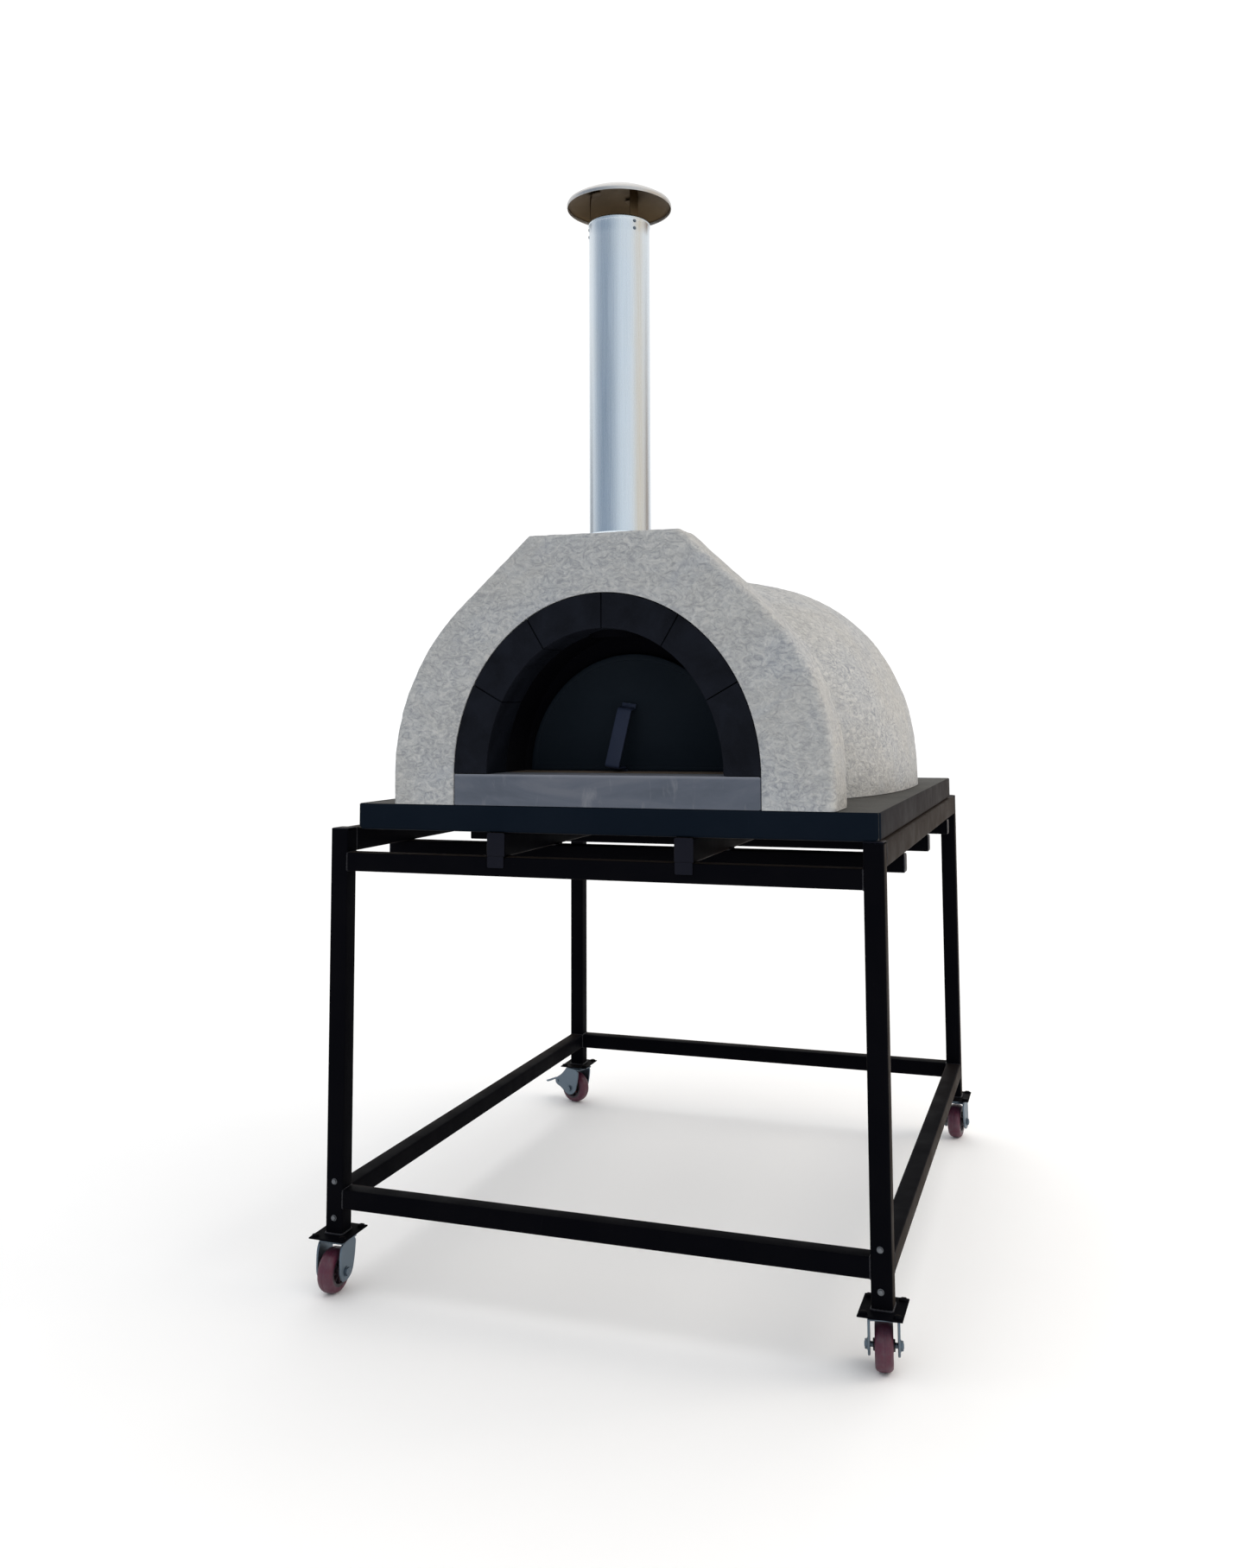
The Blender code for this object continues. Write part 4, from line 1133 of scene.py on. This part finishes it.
def build_caster(name, joints):
    prefix = "caster_" + name
    swivel, wheel = name + "_swivel", name + "_wheel"
    turn = joints[name + "_swivel_turn"]
    spin = joints[name + "_wheel_spin"]
    x, y = turn["pos_m"][:2]
    dx, dy = spin["pos_m"][0] - x, spin["pos_m"][1] - y
    frame_here = Matrix.Translation((x, y, 0)) @ Matrix.Rotation(atan2(dy, dx), 4, "Z")
    trail, axle = hypot(dx, dy), spin["pos_m"][2]
    top = high(prefix + "_plate").z

    dress(prefix + "_plate", "paint", 0.0006, 2)
    low_plate, high_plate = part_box(prefix + "_plate")
    bolts = [((sx, sy, top - 0.0005), (0, 0, 1)) for sx in (low_plate.x + 0.010,
                                                            high_plate.x - 0.010)
             for sy in (low_plate.y + 0.011, high_plate.y - 0.011)]
    rods(prefix + "_plate_bolts", bolts, 0.0072, 0.0042, "paint")
    cup = [(r, top - drop) for r, drop in
           mm((10, 3), (26.2, 3), (27.5, 4.2), (27.2, 5.8), (25, 7.2), (22.5, 7.8), (10, 7))]
    turned(prefix + "_race_cup", cup, "zinc", OVEN, matrix=frame_here)
    kingpin = [(frame_here @ Vector((0, 0, 0.0993)), (0, 0, -1))]
    rods(prefix + "_kingpin_head", kingpin, 0.0078, 0.0010, "zinc")

    # Pressed fork: crown, two cheeks with folded shoulders, and the lower race.
    crown = mm((-24, 102.5), (27, 102.5), (29, 105), (27, 107.5), (-23, 107.5), (-26, 105))
    slab_piece(prefix + "_crown", closed_smooth(crown, 1), -FORK_OUT + 0.001, FORK_OUT - 0.001,
               "zinc", swivel, frame_here, 0.0008, prefix + "_fork")
    race = mm((5.5, 106.5), (26.2, 106.5), (26.2, 108.5), (24, 110), (15, 110.8), (5.5, 110.8))
    turned(prefix + "_lower_race", race, "zinc", swivel, matrix=frame_here)
    brake = prefix + "_pedal" in NODES
    if brake:
        rear = mm((33, 99), (48.5, 83), (66.5, 72.5), (73.5, 65), (73, 55), (66, 49), (50, 44))
    else:
        rear = mm((34, 96), (37, 82), (37.5, 58), (36.5, 42))
    side = mm((-22.5, 107.5), (26.5, 107.5)) + rear
    side += mm((28, 28), (15.5, 26.2), (3.5, 28), (-10.5, 38), (-19, 70))
    for tag, y0 in (("left", FORK_IN), ("right", -FORK_OUT)):
        slab_piece(f"{prefix}_cheek_{tag}", closed_smooth(side), y0, y0 + FORK_OUT - FORK_IN,
                   "zinc", swivel, frame_here, 0.0010)

    # Wheel: turned hub with ribs, and a crowned tread with a mould line.
    hub = frame_here @ Matrix.Translation((trail, 0, axle)) @ Matrix.Rotation(-pi / 2, 4, "X")
    core = mirrored(mm((5.5, -20.5), (9.8, -20.5), (10.8, -19.5), (12, -8), (14, -6.2),
                       (22.5, -6.2),
                       (24.6, -8), (25.8, -16), (27.2, -17), (31.8, -17)))
    turned(prefix + "_hub", core, "core", wheel, prefix + "_core", 72, hub, sharp=35)
    bm = bmesh.new()
    for sign in (-1, 1):
        z0, z1 = sorted((sign * 0.0058, sign * 0.0140))
        for k in range(8):
            spoke = hub @ Matrix.Rotation(2 * pi * k / 8, 4, "Z")
            rows = [[spoke @ Vector((r, p, q)) for p,
                     q in ((-w, z0), (w, z0), (w * 0.7, z1), (-w * 0.7, z1))]
                    for r, w in mm((11.2, 1.6), (18, 1.2), (25.5, 1.6))]
            solid(bm, rows)
    rounded(piece(prefix + "_ribs", bm, "core", wheel), 0.0004)
    shoulder = [(r, rise - TYRE_HALF) for r, rise in
                mm((31.6, 0), (33.5, -0.2), (38, 0.2), (41.2, 2.2), (43.3, 5.2), (44.5, 8.8))]
    tread = mirrored(shoulder + [(axle, -0.0045), (axle, -0.0006), (axle - 0.0003, 0.0)])
    turned(prefix + "_tyre", tread, "tread", wheel, prefix + "_tread", 96, hub, sharp=35)
    shank = mirrored(mm((0.2, -36.5), (4.2, -36.5), (4.9, -35.7)))
    turned(prefix + "_axle_bolt", shank, "zinc", wheel, prefix + "_axle", 32, hub)
    ends = [(hub @ Vector((0, 0, s * (FORK_OUT + 0.0004))),
             hub.to_3x3() @ Vector((0, 0, s))) for s in (-1, 1)]
    rods(prefix + "_axle_nuts", ends, 0.0078, 0.0052, "zinc", wheel)
    if brake:
        build_pedal(name, prefix, joints[name + "_brake_pedal"], frame_here)


def build_pedal(name, prefix, joint, frame_here):
    """Pressed brake pedal: barrel on the pin, a bent plate and a turned up lip."""
    pivot = Vector(joint["pos_m"])
    local = frame_here.inverted() @ pivot
    body = name + "_brake"
    path = smooth_path(mm((-1, 3.5), (8, 3.4), (17, 1.8), (30, -3.5), (42, -8.5), (49, -10.8),
                          (52.5, -10.8), (54.5, -8.5)), 2)
    bm = bmesh.new()
    rows = []
    for i, ((px, pz), run) in enumerate(frames(path)):
        share = i / (len(path) - 1)
        half = 0.0150 + 0.008 * min(1, share * 1.6)
        rows.append([frame_here @ Vector((local.x + px - run.y * q, p, local.z + pz + run.x * q))
                     for p, q in round_rect(half, 0.0011, 0.0008, 2)])
    solid(bm, rows)
    piece(prefix + "_pedal_plate", bm, "zinc", body, prefix + "_pedal", sharp=35)
    axis = frame_here @ Matrix.Translation((local.x, 0, local.z)) @ Matrix.Rotation(-pi / 2, 4, "X")
    barrel = mirrored(mm((3, -20), (4, -20), (4.2, -19.6)))
    turned(prefix + "_pedal_barrel", barrel, "zinc", body, matrix=axis)
    pin = mirrored(mm((0.2, -31.6), (4.6, -31.6), (4.8, -30.6), (3, -30.3)))
    turned(prefix + "_pedal_pin", pin, "zinc", body, matrix=axis, segments=28)


# ---------------------------------------------------------------- studio
def build_world():
    """A white studio whose light is dimmer and cooler to the front left and warmer to the right.

    The backdrop itself stays plain white; only the light and the reflections carry the shading.
    """
    world = bpy.data.worlds.new("studio")
    bpy.context.scene.world = world
    world.use_nodes = True
    studio = Tree(world.node_tree, "Background")
    direction = studio.node("TexCoord").outputs["Generated"]

    def blend(axis, start, end, first, second):
        """Colour that turns from first to second as the direction turns along an axis."""
        lean = studio.node("VectorMath")
        lean.operation = "DOT_PRODUCT"
        studio.give(lean.inputs[0], direction)
        studio.give(lean.inputs[1], axis)
        return studio.mix(studio.level(lean.outputs["Value"], start, end), first, second)

    dark_edge = blend((-0.906, 0.423, 0), 0.955, 0.992, (1.0, 1.0, 1.0), (0.10, 0.11, 0.13))
    warm_edge = blend((0.643, 0.766, 0), 0.930, 0.985, dark_edge, (0.30, 0.21, 0.15))
    white = blend((0.99, 0.10, 0), 0.80, 1.0, warm_edge, (0.80, 0.66, 0.50))
    front = blend((0.0, -1.0, 0), 0.0, 0.6, white, (0.80, 0.84, 0.88))
    shaded = blend((-0.64, -0.77, 0), 0.45, 0.98, front, (0.30, 0.36, 0.44))
    sky = blend((0, 0, 1), 0.45, 0.95, shaded, (1.26, 1.24, 1.22))
    seen = studio.node("LightPath").outputs["Is Camera Ray"]
    studio.set("Color", studio.mix(seen, sky, (1.0, 1.0, 1.0)))
    studio.set("Strength", 1.08)


def build_studio():
    bpy.context.scene.view_settings.view_transform = "Standard"
    bm = bmesh.new()
    steps = 24
    rows = []
    for j in range(steps + 1):
        y = -9 + 22 * j / steps
        rows.append([(-13 + 26 * i / steps, y, 0.0) for i in range(steps + 1)])
    skin(bm, rows)
    mesh = bpy.data.meshes.new("floor")
    bm.to_mesh(mesh)
    bm.free()
    mesh.materials.append(floor_material())
    floor = bpy.data.objects.new("floor", mesh)
    bpy.context.scene.collection.objects.link(floor)

    build_world()

    def area(name, place, target, size, power, colour, glossy=True):
        light = bpy.data.lights.new(name, "AREA")
        light.shape = "RECTANGLE"
        light.size, light.size_y = size
        light.energy = power
        light.color = colour
        obj = bpy.data.objects.new(name, light)
        bpy.context.scene.collection.objects.link(obj)
        obj.visible_glossy = glossy
        obj.location = place
        obj.rotation_euler = (Vector(target) - Vector(place)).to_track_quat("-Z", "Y").to_euler()

    area("key", (4.2, 0.6, 3.4), (0, 0, 1.1), (2.2, 2.2), 60, (1.0, 0.91, 0.80), glossy=False)
    area("fill", (-0.6, -4.6, 3.6), (0, 0, 1.1), (2.5, 2.5), 6, (0.88, 0.94, 1.0), glossy=False)


def build_camera():
    data = bpy.data.cameras.new("camera")
    data.sensor_fit = "AUTO"
    data.sensor_width = 36.0
    data.lens = 29.13
    data.shift_x = -0.0269
    data.shift_y = -0.1103
    data.clip_start, data.clip_end = 0.05, 100
    camera = bpy.data.objects.new("camera", data)
    bpy.context.scene.collection.objects.link(camera)
    yaw, pitch, roll = radians(18.18), radians(4.56), radians(-0.349)
    facing = Matrix.Rotation(yaw, 4, "Z") @ Matrix.Rotation(pi / 2 + pitch, 4, "X")
    facing = facing @ Matrix.Rotation(roll, 4, "Z")
    camera.matrix_world = Matrix.Translation((0.9677, -3.1245, 1.2183)) @ facing
    bpy.context.scene.camera = camera


build_stand()
build_tray()
build_facade()
build_dome()
build_arch_details()
build_door()
build_flue()
JOINTS = {j["name"]: j for j in frame["joints"]}
for caster in ("front_left", "front_right", "rear_left", "rear_right"):
    build_caster(caster, JOINTS)
build_studio()
build_camera()

bpy.context.view_layer.update()
